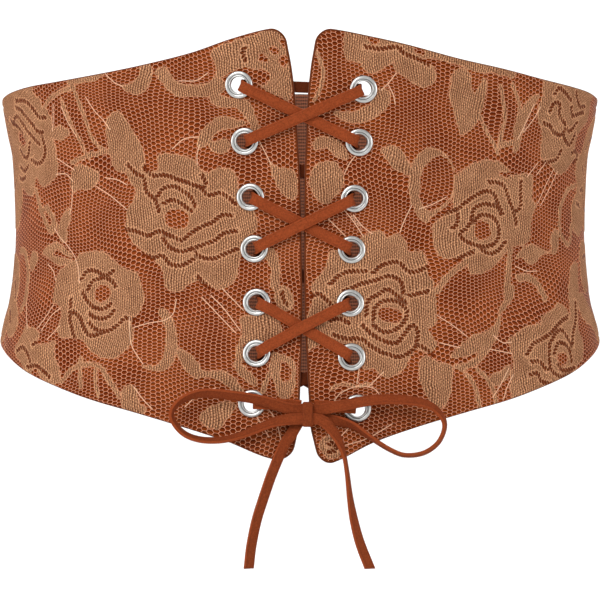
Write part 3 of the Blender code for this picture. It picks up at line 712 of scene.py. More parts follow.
def chart_lace(places, pattern):
    """What the lace is at places on its chart: distances in millimetres."""
    far = 3.0
    count = len(places)
    lace = {
        "woven": np.full(count, -far),
        "chain": np.full(count, far),
        "chain_side": np.full(count, far),
        "chain_run": np.zeros(count),
        "cord": np.full(count, far),
        "cord_side": np.full(count, far),
    }
    for kind, numbers in pattern_rows(pattern):
        closed = kind in ("woven", "gap")
        half_width = numbers.pop(0) if kind == "band" else 0.0
        line = smooth_curve(np.array(numbers, float).reshape(-1, 2), 5, closed)
        near = nearby(places, line, far + half_width)
        ring = np.concatenate([line, line[:1]]) if closed else line
        gaps, sides, runs = line_offsets(places[near], ring)
        if kind == "gap":
            inside = np.where(inside_outline(places[near], line), -gaps, gaps)
            lace["woven"][near] = np.minimum(lace["woven"][near], inside)
        elif kind in ("woven", "band"):
            inside = half_width - gaps
            if closed:
                inside = np.where(inside_outline(places[near], line), gaps, -gaps)
            lace["woven"][near] = np.maximum(lace["woven"][near], inside)
        else:
            closer = gaps < lace[kind][near]
            chosen = near[closer]
            lace[kind][chosen] = gaps[closer]
            lace[kind + "_side"][chosen] = np.clip(sides[closer], -far, far)
            if kind == "chain":
                lace["chain_run"][chosen] = runs[closer]
    return lace


def new_mesh(name, points, faces):
    """A mesh of points and faces."""
    mesh = bpy.data.meshes.new(name)
    mesh.from_pydata([tuple(point) for point in points], [], faces)
    mesh.validate()
    mesh.update()
    return mesh


def grid_quads(index):
    """The quads of a grid of point indices."""
    return np.stack([index[:-1, :-1], index[1:, :-1], index[1:, 1:], index[:-1, 1:]], -1).reshape(-1, 4)


def new_piece(name, mesh, materials, slot, *nodes):
    """A finished piece that stands for CAD nodes and rides with the belt."""
    piece = bpy.data.objects.new(name, mesh)
    bpy.context.scene.collection.objects.link(piece)
    finish_piece(piece, materials, slot, *nodes)
    return piece


def finish_piece(piece, materials, slot, *nodes):
    """Give a piece its materials, body and the nodes that it stands for. The slot is not used."""
    for material in materials:
        piece.data.materials.append(material)
    piece.data.shade_smooth()
    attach(piece, "root")
    if nodes:
        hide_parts(*nodes)


def deselect():
    """Select nothing, so that an operator acts on its own piece alone."""
    if bpy.context.object and bpy.context.object.mode != "OBJECT":
        bpy.ops.object.mode_set(mode="OBJECT")
    bpy.ops.object.select_all(action="DESELECT")


def set_attribute(mesh, name, values):
    """Store a number for each point of a mesh."""
    attribute = mesh.attributes.new(name, "FLOAT", "POINT")
    attribute.data.foreach_set("value", np.asarray(values, np.float32))


def set_chart(mesh, places):
    """Store each point's place on the chart as the mesh's UV map."""
    layer = mesh.uv_layers.new(name="chart")
    corners = np.empty(len(mesh.loops), np.int32)
    mesh.loops.foreach_get("vertex_index", corners)
    layer.data.foreach_set("uv", np.asarray(places, np.float32)[corners].ravel())


def mesh_points(mesh):
    """A mesh's points as an array."""
    points = np.empty(len(mesh.vertices) * 3, np.float32)
    mesh.vertices.foreach_get("co", points)
    return points.reshape(-1, 3).astype(float)


class Value:
    """A node's output in a formula: each operator adds the Math node that works it out."""

    def __init__(self, finish, socket):
        self.finish = finish
        self.socket = socket

    def math(self, operation, *others, first=None):
        inputs = {0: self if first is None else first}
        for place, other in enumerate(others, 1):
            inputs[place] = other
        return self.finish.node("Math", {"operation": operation}, inputs)

    def __add__(self, other):
        return self.math("ADD", other)

    def __radd__(self, other):
        return self.math("ADD", other)

    def __sub__(self, other):
        return self.math("SUBTRACT", other)

    def __rsub__(self, other):
        return self.math("SUBTRACT", self, first=other)

    def __mul__(self, other):
        return self.math("MULTIPLY", other)

    def __rmul__(self, other):
        return self.math("MULTIPLY", other)

    def __truediv__(self, other):
        return self.math("DIVIDE", other)

    def __abs__(self):
        return self.math("ABSOLUTE")

    def __mod__(self, other):
        return self.math("FLOORED_MODULO", other)

    def __lt__(self, other):
        return self.math("LESS_THAN", other)

    def floor(self):
        return self.math("FLOOR")

    def sine(self):
        return self.math("SINE")

    def most(self, other):
        return self.math("MAXIMUM", other)

    def wave(self, length, shift=0.0):
        """A wave between 0 and 1 of a length, shifted by an angle."""
        return (self * (math.tau / length) + shift).sine() * 0.5 + 0.5

    def rise(self, low, high):
        """0 below low, 1 above high, and a smooth rise between."""
        settings = {"interpolation_type": "SMOOTHSTEP"}
        return self.finish.node("MapRange", settings, {"Value": self, "From Min": low, "From Max": high})

    def fall(self, low, high):
        """1 below low, 0 above high."""
        return 1 - self.rise(low, high)


class Finish:
    """A material's nodes."""

    def __init__(self, name, constants):
        self.material = bpy.data.materials.new(name)
        self.material.use_nodes = True
        self.tree = self.material.node_tree
        self.shader = self.tree.nodes["Principled BSDF"]
        for place, value in constants.items():
            self.shader.inputs[place].default_value = value

    def node(self, kind, settings=None, inputs=None, output=0):
        """Add a node: its settings first, then the values or links of its sockets."""
        made = self.tree.nodes.new("ShaderNode" + kind)
        for name, value in (settings or {}).items():
            setattr(made, name, value)
        for place, value in (inputs or {}).items():
            if isinstance(value, Value):
                self.tree.links.new(value.socket, made.inputs[place])
            else:
                made.inputs[place].default_value = value
        return Value(self, made.outputs[output])

    def mix(self, share, first, second):
        """A colour between two."""
        first, second = (c if isinstance(c, Value) else (*c, 1.0) for c in (first, second))
        return self.node("Mix", {"data_type": "RGBA"}, {0: share, 6: first, 7: second}, output=2)

    def number(self, name):
        """A number stored on the mesh."""
        return self.node("Attribute", {"attribute_name": name}, output=2)

    def place(self, source="Object"):
        """Object coordinates, or the chart."""
        if source == "Object":
            return self.node("TexCoord", output="Object")
        return self.node("UVMap", {"uv_map": source})

    def parts(self, vector):
        """The three numbers of a vector."""
        split = self.node("SeparateXYZ", inputs={0: vector})
        return [Value(self, split.socket.node.outputs[axis]) for axis in range(3)]

    def noise(self, place, size, detail=2.0, roughness=0.5, output=0):
        """Noise whose spots are about a size in metres."""
        inputs = {"Vector": place, "Scale": 1 / size, "Detail": detail, "Roughness": roughness}
        return self.node("TexNoise", inputs=inputs, output=output)

    def scatter(self, column, row):
        """A chance number for each column and row."""
        place = self.node("CombineXYZ", inputs={0: column, 1: row})
        return self.node("TexWhiteNoise", {"noise_dimensions": "2D"}, {"Vector": place})

    def bump(self, height, depth, strength=1.0):
        """Relief of a depth in metres."""
        inputs = {"Strength": strength, "Distance": depth, "Height": height}
        self.link("Normal", self.node("Bump", inputs=inputs))

    def link(self, place, value):
        """Feed one of the shader's sockets."""
        self.tree.links.new(value.socket, self.shader.inputs[place])


def linear(colour):
    """A colour of 0 to 255 parts in the renderer's own scale."""
    parts = [part / 255 for part in colour]
    return tuple(part / 12.92 if part <= 0.04045 else ((part + 0.055) / 1.055) ** 2.4 for part in parts)


def darker(colour, share):
    """A colour scaled in brightness."""
    return tuple(min(1.0, part * share) for part in colour)


def colour_property(name, description, default):
    """A colour that a user can change."""
    return FloatVectorProperty(
        name=name, description=description, subtype="COLOR", default=default, min=0, max=1
    )


class BeltColours(bpy.types.PropertyGroup):
    """Colours of the belt's materials."""

    leather: colour_property("Leather", "Imitation leather under the lace", linear((124, 48, 14)))
    # Painted sheen: colour of the imitation leather in its bright patches
    painted_sheen: colour_property("Glow", "Imitation leather where it is brightest", linear((152, 70, 28)))
    shade: colour_property("Shade", "Leather in the shade of threads", linear((56, 15, 4)))
    thread: colour_property("Net thread", "Threads of the net", linear((248, 178, 140)))
    woven: colour_property("Woven flowers", "Threads of the flowers and leaves", linear((246, 184, 138)))
    ground: colour_property(
        "Flower ground", "Flowers and leaves between their threads", linear((88, 36, 12))
    )
    cord: colour_property("Cord", "Thin threads between the flowers", linear((255, 206, 170)))
    # The bare turned edge; its dark colour is partly painted shade where the edge rolls under
    edge: colour_property("Turned edge", "Leather turned round the panels' edges", linear((104, 50, 26)))
    suede: colour_property("Suede", "The flat lace", linear((148, 68, 34)))
    elastic: colour_property("Elastic", "The back band", linear((158, 92, 62)))
    lining: colour_property("Lining", "Inside of the panels", linear((120, 70, 46)))
    metal: colour_property("Metal", "Eyelets", (0.66, 0.65, 0.63))


class BeltSizes(bpy.types.PropertyGroup):
    """Sizes of the belt's finer detail."""

    grid: FloatProperty(
        name="Panel grid", description="Spacing of the panels' points", unit="LENGTH",
        default=0.00068, min=0.0004, max=0.004,
    )
    relief: FloatProperty(
        name="Lace relief", description="How far the woven flowers stand out", unit="LENGTH",
        default=0.00025, min=0.0, max=0.0006,
    )
    net_width: FloatProperty(
        name="Net width", description="Distance between columns of the net", unit="LENGTH",
        default=0.00205, min=0.001, max=0.01,
    )
    net_pitch: FloatProperty(
        name="Net pitch", description="Height of a mesh of the net", unit="LENGTH",
        default=0.00175, min=0.0005, max=0.01,
    )
    rib: FloatProperty(
        name="Rib", description="Width of a rib of the woven flowers", unit="LENGTH",
        default=0.00105, min=0.0004, max=0.004,
    )
    eyelet_sides: IntProperty(
        name="Eyelet sides", description="Sides of a turned eyelet", default=40, min=12, max=96,
    )


class BeltStage(bpy.types.PropertyGroup):
    """Camera and light."""

    distance: FloatProperty(
        name="Camera distance", description="From the camera to the middle of the belt", unit="LENGTH",
        default=1.8, min=0.3, max=10,
    )
    pixel: FloatProperty(
        name="Pixel size", description="Width of an image pixel at the belt's middle", unit="LENGTH",
        default=0.00047, min=0.0001, max=0.01,
    )
    camera_height: FloatProperty(
        name="Camera height", description="Above the waist line", unit="LENGTH", default=-0.00846,
    )
    aim_drop: FloatProperty(
        name="Aim drop", description="How far below the camera its view is centred", unit="LENGTH",
        default=0.0235,
    )
    floor_drop: FloatProperty(
        name="Floor drop", description="From the waist line down to the floor", unit="LENGTH",
        default=0.40,
    )
    key: FloatProperty(name="Key light", description="Power of the front light", default=26.0, min=0)
    fill: FloatProperty(name="Fill light", description="Power of each side light", default=9.0, min=0)
    sky: FloatProperty(name="Sky", description="Strength of the surroundings", default=0.75, min=0)


# Half the root of three, for the net's six-sided meshes
HALF_ROOT = 0.866
# The weave in metres, and a chain's open stitches in millimetres
ROW_LENGTH = 0.0014
STEP_LENGTH = 0.0011
CHAIN_PITCH = 1.75
CHAIN_REACH = 1.2
ELASTIC_RIB = 0.0016
ELASTIC_PICK = 0.0011
LINING_WEAVE = 9000  # radians a metre


def lace_finish(colours):
    """Floral lace over imitation leather."""
    sizes = bpy.context.scene.belt_sizes
    finish = Finish("floral_lace", {"Specular IOR Level": 0.02})
    place = finish.place("chart")
    sway_x, sway_y, _ = finish.parts(finish.noise(place, 0.035, detail=1.0, output="Color"))
    x, y, _ = finish.parts(place)
    x = x + (sway_x - 0.5) * 0.011
    y = y + (sway_y - 0.5) * 0.014
    grain = finish.noise(place, 0.0005, detail=1.0).rise(0.34, 0.66)
    cloud = finish.noise(place, 0.022, detail=2.0)
    # Painted sheen on the woven flowers, in patches about a centimetre wide
    painted_cloth_sheen = finish.noise(place, 0.011, detail=2.0)

    across, up = x / sizes.net_width * HALF_ROOT, y / sizes.net_pitch
    first_x, first_y = across % (2 * HALF_ROOT) - HALF_ROOT, up % 1.0 - 0.5
    second_x = (across - HALF_ROOT) % (2 * HALF_ROOT) - HALF_ROOT
    second_y = (up - 0.5) % 1.0 - 0.5
    second = second_x * second_x + second_y * second_y < first_x * first_x + first_y * first_y
    cell_x = abs(first_x + (second_x - first_x) * second)
    cell_y = first_y + (second_y - first_y) * second
    slanting = cell_x * HALF_ROOT + abs(cell_y) * 0.5
    thread = slanting.most(abs(cell_y)).rise(0.425, 0.48)
    shade = cell_y.rise(-0.3, 0.4) * (1 - thread)

    weft = x + (finish.noise(place, 0.005, detail=1.0) - 0.5) * 0.0016
    column = (weft / sizes.rib).floor()
    rib = weft.wave(sizes.rib)
    row = y.wave(ROW_LENGTH, column * math.pi)
    steps = finish.scatter(column, (y / STEP_LENGTH).floor())
    ragged = finish.noise(place, 0.0024, detail=1.0)

    inside = finish.number("woven")
    woven = (inside + (steps - 0.5) * 0.9 + (ragged - 0.5) * 1.8).rise(-0.12, 0.12)
    pinhole = (1 - rib).rise(0.35, 0.75) * (row + (steps - 0.5) * 0.8).rise(0.3, 0.7)
    stitch = (finish.number("chain_run") + finish.number("chain_side") * 0.5) / CHAIN_PITCH
    run = stitch % 1.0 - 0.5
    reach = finish.number("chain") / CHAIN_REACH
    ellipse = reach * reach + run * run * 5.0 + (ragged - 0.5) * 1.6
    hole = ellipse.fall(0.75, 1.15)
    picot = ellipse.rise(1.1, 1.4) * ellipse.fall(1.8, 2.6) * 0.4
    cord = abs(finish.number("cord_side")).fall(0.12, 0.28) * finish.number("cord").fall(0.6, 0.8)
    outline = abs(inside + (ragged - 0.5) * 1.8).fall(0.10, 0.34) * 0.4
    strip = finish.number("strip").fall(0.92, 1.0)

    # Painted sheen: cloudy patches of brighter leather
    leather = finish.mix(cloud.rise(0.36, 0.66), colours.leather, colours.painted_sheen)
    net = finish.mix(shade * 0.8, leather, colours.shade)
    net = finish.mix(thread * (0.6 + 0.4 * grain), net, colours.thread)
    # The rib pattern, grain and painted sheen set the flowers' brightness
    light = (0.24 + rib * (0.25 + 0.45 * row)) * (0.4 + 0.75 * grain) * (0.6 + 0.8 * painted_cloth_sheen)
    cloth = finish.mix(light, colours.ground, colours.woven)
    # Pinholes show the leather beneath, drawn in painted shade
    cloth = finish.mix(pinhole * 0.7, cloth, colours.shade)
    colour = finish.mix(woven, net, cloth)
    colour = finish.mix(outline.most(picot * woven), colour, colours.woven)
    # Open chain stitches show the leather beneath, mixed with painted shade
    colour = finish.mix(hole * 0.9, colour, finish.mix(grain, colours.shade, colours.leather))
    colour = finish.mix(cord * 0.75, colour, colours.cord)
    # Turned edge: bare leather, darkened partly with painted shade
    colour = finish.mix(strip, colour, colours.edge)
    finish.link("Base Color", colour)
    finish.link("Roughness", 0.45 + 0.35 * (woven * (1 - hole)).most(thread * 0.6))
    height = (thread * 0.5).most(woven * (0.75 + 0.25 * rib - 0.5 * pinhole)) - hole * 0.4
    finish.bump((height + cord * 0.5) * (1 - strip), 0.00022, 0.7)
    return finish.material


def lining_finish(colours):
    """Plain woven lining."""
    finish = Finish("lining", {"Roughness": 0.85})
    x, y, _ = finish.parts(finish.place("chart"))
    weave = (x * LINING_WEAVE).sine() * (y * LINING_WEAVE).sine() * 0.5 + 0.5
    cloud = finish.noise(finish.place("chart"), 0.01)
    colour = finish.mix(weave * 0.5 + cloud * 0.3, darker(colours.lining, 0.6), colours.lining)
    finish.link("Base Color", colour)
    finish.bump(weave, 0.00008, 0.6)
    return finish.material


def elastic_finish(colours):
    """Ribbed elastic."""
    finish = Finish("elastic", {"Roughness": 0.9})
    place = finish.place("chart")
    x, y, _ = finish.parts(place)
    ribs, picks = y.wave(ELASTIC_RIB), x.wave(ELASTIC_PICK)
    grain = finish.noise(place, 0.0006)
    light = ribs * 0.7 + picks * 0.3 + (grain - 0.5) * 0.8
    colour = finish.mix(light, darker(colours.elastic, 0.16), colours.elastic)
    finish.link("Base Color", colour)
    finish.bump(ribs * 0.7 + picks * 0.3, 0.00025, 0.8)
    return finish.material


def metal_finish(colours):
    """Polished nickel plate, with painted shade in its grooves, at its outer edge and in its bore."""
    finish = Finish("nickel", {"Metallic": 1.0})
    wear = finish.noise(finish.place(), 0.0015, detail=3.0)
    # Painted shade where the groove number is high
    colour = finish.mix(finish.number("groove"), colours.metal, darker(colours.metal, 0.16))
    finish.link("Base Color", colour)
    finish.link("Roughness", 0.24 + 0.12 * wear)
    return finish.material


def suede_finish(colours):
    """Suede lace with a short nap."""
    finish = Finish("suede", {"Roughness": 0.92, "Specular IOR Level": 0.1})
    nap = finish.noise(finish.place(), 0.0007, detail=3.0, roughness=0.65)
    cloud = finish.noise(finish.place(), 0.006, detail=2.0)
    rim = finish.number("rim")
    light = nap.rise(0.3, 0.7) * 0.7 + cloud * 0.3
    colour = finish.mix(light, darker(colours.suede, 0.66), darker(colours.suede, 1.25))
    # Painted shade: a darker band towards the lace's edges; the edges themselves are drawn lighter
    colour = finish.mix(rim.fall(0.0, 0.6) * rim.rise(0.0, 0.3) * 0.5, colour, darker(colours.suede, 0.45))
    colour = finish.mix(rim.rise(0.6, 1.0) * 0.5, colour, darker(colours.suede, 1.5))
    # Painted shade: darker suede where the lace lies behind the panels, in the bores and on the bow
    colour = finish.mix(finish.number("painted_shade"), colour, darker(colours.suede, 0.18))
    finish.link("Base Color", colour)
    finish.bump(nap, 0.0003, 0.6)
    return finish.material


MAKERS = {
    "lace": lace_finish,
    "lining": lining_finish,
    "elastic": elastic_finish,
    "metal": metal_finish,
    "suede": suede_finish,
}
FINISHES = {}


def finish_named(name):
    """One of the belt's materials, made when it is first asked for."""
    if name not in FINISHES:
        FINISHES[name] = MAKERS[name](bpy.context.scene.belt_colours)
    return FINISHES[name]


def eyelet_frame(side_name, row):
    """Middle of an eyelet on the panel's outer face, and its directions right, up and out."""
    low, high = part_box(f"eyelet_{side_name}_{row}")
    middle = np.array((low + high) / 2)
    turn = np.array([math.atan2(middle[0], -middle[1])])
    out = body_normals(turn, np.array([middle[2]]), PANEL_IN)[0]
    right = np.cross((0.0, 0.0, 1.0), out)
    right /= np.linalg.norm(right)
    return middle + out * (BACK_RIM_TOP - RIM_TOP) / 2, right, np.cross(out, right), out


def eyelet_matrix(side_name, row):
    """What carries a piece modelled upright at the origin to an eyelet's seat."""
    middle, right, up, out = eyelet_frame(side_name, row)
    matrix = Matrix([Vector(right), Vector(up), Vector(out)]).transposed().to_4x4()
    matrix.translation = Vector(middle)
    return matrix


# A panel's grid: how far its first columns and rows lie from an edge, the round of that edge, the
# fine steps to one of the lining, and the mean height as a share of the front edge's
EDGE_STEPS = np.array([0.0, 0.00012, 0.0004, 0.0008, 0.0013])
EDGE_ROUND = 0.0011
INNER_STEP = 4
MEAN_HEIGHT = 0.82

# The turned edge's bare strip, narrower away from the front, and the line pressed beside it
STRIP_AT_FRONT = 0.0010
STRIP_NARROWING = 0.0004
STRIP_NARROWS = (0.006, 0.012)
PRESSED_LINE = 0.0042
PRESSED_WIDTH = 0.00055
PRESSED_DEPTH = 0.00035


def panel_grid(spacing):
    """A panel's columns as turns past its front edge, with that edge's pull, the cut of the
    corners and the number of rows.
    """
    start = CORNER_RADIUS / (WAIST_DEPTH / 2)
    corner = np.arange(EDGE_STEPS[-1] + spacing, CORNER_RADIUS - spacing / 2, spacing)
    past = np.concatenate([EDGE_STEPS, corner])
    cuts = CORNER_RADIUS - np.sqrt(CORNER_RADIUS ** 2 - (CORNER_RADIUS - past) ** 2)
    turns, lengths = waist_lengths(start, SEAM_TURN)
    middles = round((lengths[-1] - EDGE_STEPS[-1]) / spacing)
    while (len(past) + middles + len(EDGE_STEPS) - 1) % INNER_STEP:
        middles += 1
    goals = np.linspace(0, lengths[-1] - EDGE_STEPS[-1], middles, endpoint=False)
    goals = np.concatenate([goals, lengths[-1] - EDGE_STEPS[::-1]])
    wide = np.interp(goals, lengths, turns)
    past = np.concatenate([past / (WAIST_DEPTH / 2), wide])
    cuts = np.concatenate([cuts, np.zeros(len(wide))])
    pull = np.where(past < start, 1.0, (SEAM_TURN - past) / (SEAM_TURN - start))

    tall = round((UPPER_HEIGHT + LOWER_HEIGHT) * MEAN_HEIGHT / spacing)
    while (tall + 2 * len(EDGE_STEPS)) % INNER_STEP:
        tall += 1
    return past, pull, cuts, tall


def panel_places(side, past, pull, cuts, tall):
    """Turn and height of each column and row of a panel."""
    edge_places = np.linspace(-1.1 * LOWER_HEIGHT, 1.05 * UPPER_HEIGHT, 400)
    edge_turns = turns_at(side * front_edge(side, edge_places), edge_places, PANEL_IN)
    heights = np.zeros((len(past), tall + 2 * len(EDGE_STEPS) + 1))
    rises = np.linspace(0, 1, tall + 3)[1:-1]
    for _ in range(5):
        turns = past[:, None] + np.interp(heights, edge_places, edge_turns) * pull[:, None]
        bottom, top = edge_heights(side * turns)
        bottom, top = bottom + cuts[:, None], top - cuts[:, None]
        low, high = bottom + EDGE_STEPS[-1], top - EDGE_STEPS[-1]
        count = len(EDGE_STEPS)
        heights[:, :count] = bottom[:, :count] + EDGE_STEPS
        heights[:, -count:] = top[:, -count:] - EDGE_STEPS[::-1]
        heights[:, count:-count] = low[:, count:-count] + (high - low)[:, count:-count] * rises
    turns = past[:, None] + np.interp(heights, edge_places, edge_turns) * pull[:, None]
    return turns, heights


def panel_rim(side, turns, heights):
    """Distances from places on a panel to its nearest edge and to its front edge."""
    edge_turns = turns_at(side * front_edge(side, heights), heights, PANEL_IN)
    reach = body_reach(turns, heights, PANEL_IN)
    front = (turns - edge_turns) * reach
    rear = (SEAM_TURN - turns) * reach
    bottom, top = edge_heights(side * turns)
    step = 0.01
    ends = zip(edge_heights(side * (turns + step)), edge_heights(side * (turns - step)))
    low_slope, high_slope = ((after - before) / (2 * step * reach) for after, before in ends)
    above = (heights - bottom) / np.sqrt(1 + low_slope ** 2)
    below = (top - heights) / np.sqrt(1 + high_slope ** 2)
    vertical = np.minimum(above, below)
    corner = CORNER_RADIUS - np.hypot(
        np.maximum(CORNER_RADIUS - front, 0), np.maximum(CORNER_RADIUS - vertical, 0)
    )
    rim = np.minimum(corner, np.minimum(front, vertical))
    return np.minimum(rim, rear), front


def panel_shell(name, side, spacing):
    """Closed wall of a panel: a fine outer face, and a lining with a coarser grid."""
    past, pull, cuts, tall = panel_grid(spacing)
    turns, heights = panel_places(side, past, pull, cuts, tall)
    rim, _ = panel_rim(side, turns, heights)
    roll = EDGE_ROUND - np.sqrt(np.clip(EDGE_ROUND ** 2 - np.clip(EDGE_ROUND - rim, 0, None) ** 2, 0, None))
    outer = body_points(side * turns, heights, PANEL_OUT - roll)
    columns, rows = turns.shape

    inner_columns = list(range(0, columns, INNER_STEP))
    inner_rows = list(range(0, rows, INNER_STEP))
    inner_turns = turns[np.ix_(inner_columns, inner_rows)].copy()
    inner_heights = heights[np.ix_(inner_columns, inner_rows)].copy()
    reach = WAIST_DEPTH / 2
    inner_turns[0] += EDGE_ROUND / reach
    inner_turns[-1] -= EDGE_ROUND / (WAIST_WIDTH / 2)
    inner_heights[:, 0] += EDGE_ROUND
    inner_heights[:, -1] -= EDGE_ROUND
    inner = body_points(side * inner_turns, inner_heights, PANEL_IN)

    points = np.concatenate([outer.reshape(-1, 3), inner.reshape(-1, 3)])
    first = columns * rows
    index = np.arange(first).reshape(columns, rows)
    lining = first + np.arange(len(inner_columns) * len(inner_rows)).reshape(len(inner_columns), -1)
    back = np.stack([lining[:-1, :-1], lining[:-1, 1:], lining[1:, 1:], lining[1:, :-1]], -1).reshape(-1, 4)
    faces = grid_quads(index).tolist() + back.tolist()
    outer_rings = (index[:, 0], index[-1, :], index[::-1, -1], index[0, ::-1])
    inner_rings = (lining[:, 0], lining[-1, :], lining[::-1, -1], lining[0, ::-1])
    for fine, coarse in zip(outer_rings, inner_rings):
        for step in range(len(coarse) - 1):
            run = fine[step * INNER_STEP:(step + 1) * INNER_STEP + 1]
            faces.append([int(coarse[step]), int(coarse[step + 1]), *(int(i) for i in run[::-1])])
    if side < 0:
        faces = [face[::-1] for face in faces]
    return new_mesh(name, points, faces)


def cut_holes(piece, side_name):
    """Cut a panel's eyelet holes."""
    cutters = []
    for row in ROWS:
        deselect()
        bpy.ops.mesh.primitive_cylinder_add(vertices=48, radius=HOLE_RADIUS, depth=6 * PANEL_WALL)
        cutter = bpy.context.object
        cutter.data.transform(eyelet_matrix(side_name, row))
        cutters.append(cutter)
    deselect()
    for cutter in cutters:
        cutter.select_set(True)
    bpy.context.view_layer.objects.active = cutters[0]
    bpy.ops.object.join()
    cutter = bpy.context.object
    bpy.context.view_layer.objects.active = piece
    holes = piece.modifiers.new("eyelet holes", "BOOLEAN")
    holes.object = cutter
    holes.operation = "DIFFERENCE"
    holes.solver = "MANIFOLD"
    bpy.ops.object.modifier_apply(modifier=holes.name)
    bpy.data.objects.remove(cutter, do_unlink=True)


def dress_panel(piece, side_name, side, relief):
    """Chart the lace on a panel and raise its relief."""
    mesh = piece.data
    points = mesh_points(mesh)
    turns = np.arctan2(side * points[:, 0], -points[:, 1])
    heights = points[:, 2]
    table_turns, table_lengths = waist_lengths(-0.1, SEAM_TURN + 0.1)
    zero = np.interp(0.0, table_turns, table_lengths)
    along = np.interp(turns, table_turns, table_lengths) - zero
    chart = np.stack([side * along, heights], -1)
    set_chart(mesh, chart)
    lace = chart_lace(chart / MM, {"left": LACE_LEFT, "right": LACE_RIGHT}[side_name])
    rim, front = panel_rim(side, turns, heights)
    for name, values in lace.items():
        set_attribute(mesh, name, values)
    strip_width = STRIP_AT_FRONT - STRIP_NARROWING * smooth_steps(*STRIP_NARROWS, front)
    set_attribute(mesh, "strip", rim / strip_width)

    reach = np.hypot(points[:, 0], points[:, 1])
    outer = reach > body_reach(turns, heights, PANEL_IN + PANEL_WALL * 0.55)
    unstitched = smooth_steps(0.5, 1.1, lace["chain"])
    raised = smooth_steps(-0.3, 0.3, lace["woven"]) * (1 - 0.8 * (1 - unstitched))
    threads = 0.6 * (1 - smooth_steps(0.3, 0.8, lace["cord"]))
    groove = np.exp(-((rim - PRESSED_LINE) / PRESSED_WIDTH) ** 2)
    lift = relief * np.maximum(raised, threads) - PRESSED_DEPTH * groove
    lift *= smooth_steps(0.0005, 0.002, rim) * outer
    normals = body_normals(side * turns, heights, PANEL_OUT)
    points += normals * lift[:, None]
    mesh.vertices.foreach_set("co", points.astype(np.float32).ravel())
    face_outer = np.zeros(len(mesh.polygons), bool)
    for polygon in mesh.polygons:
        face_outer[polygon.index] = all(outer[list(polygon.vertices)])
    mesh.polygons.foreach_set("material_index", np.where(face_outer, 0, 1).astype(np.int32))
    mesh.update()


class BELT_OT_panels(bpy.types.Operator):
    """Model both front panels and chart their lace"""

    bl_idname = "belt.panels"
    bl_label = "Front panels"

    def execute(self, context):
        sizes = context.scene.belt_sizes
        for side_name, side in SIDES.items():
            name = "panel_cover_" + side_name
            mesh = panel_shell(name, side, sizes.grid)
            piece = bpy.data.objects.new(name, mesh)
            context.scene.collection.objects.link(piece)
            deselect()
            context.view_layer.objects.active = piece
            piece.select_set(True)
            cut_holes(piece, side_name)
            piece.data.materials.clear()
            finishes = finish_named("lace"), finish_named("lining")
            finish_piece(piece, finishes, "panel_cloth", "panel_" + side_name)
            dress_panel(piece, side_name, side, sizes.relief)
        return {"FINISHED"}


class BELT_OT_band(bpy.types.Operator):
    """Model the elastic back band"""

    bl_idname = "belt.band"
    bl_label = "Back band"

    def execute(self, context):
        under = SEAM_TURN - SEAM_OVERLAP / body_reach(SEAM_TURN, 0.0, PANEL_IN)
        turns, lengths = waist_lengths(under, 2 * math.pi - under)
        goals = np.linspace(0, lengths[-1], 260)
        columns = np.interp(goals, lengths, turns)
        bottom, top = edge_heights(columns)
        shares = np.linspace(0, 1, 84)
        heights = bottom[:, None] + (top - bottom)[:, None] * shares
        grid = np.broadcast_to(columns[:, None], heights.shape)
        points = body_points(grid, heights, BAND_WALL).reshape(-1, 3)
        index = np.arange(len(points)).reshape(heights.shape)
        mesh = new_mesh("back_band_cover", points, grid_quads(index).tolist())
        lengthwise = np.interp(grid, turns, lengths)
        set_chart(mesh, np.stack([lengthwise, heights], -1).reshape(-1, 2))
        piece = new_piece("back_band_cover", mesh, [finish_named("elastic")], "elastic", "back_band")
        wall = piece.modifiers.new("wall", "SOLIDIFY")
        wall.thickness = BAND_WALL
        wall.offset = -1.0
        deselect()
        context.view_layer.objects.active = piece
        bpy.ops.object.modifier_apply(modifier="wall")
        return {"FINISHED"}


EyeletRing = namedtuple("EyeletRing", "radius height")
EYELET_PROFILE = (
    EyeletRing(3.62, 0.60),
    EyeletRing(3.70, 1.15),
    EyeletRing(4.00, 1.40),
    EyeletRing(4.32, 1.28),
    EyeletRing(4.50, 1.02),
    EyeletRing(4.72, 1.08),
    EyeletRing(5.15, 1.24),
    EyeletRing(5.65, 1.12),
    EyeletRing(6.08, 0.80),
    EyeletRing(6.20, 0.52),
    EyeletRing(5.95, 0.40),
    EyeletRing(4.20, 0.45),
    EyeletRing(4.20, -2.62),
    EyeletRing(5.50, -2.68),
    EyeletRing(5.60, -2.95),
    EyeletRing(5.20, -3.30),
    EyeletRing(4.60, -3.40),
    EyeletRing(4.00, -3.36),
    EyeletRing(3.62, -3.00),
)


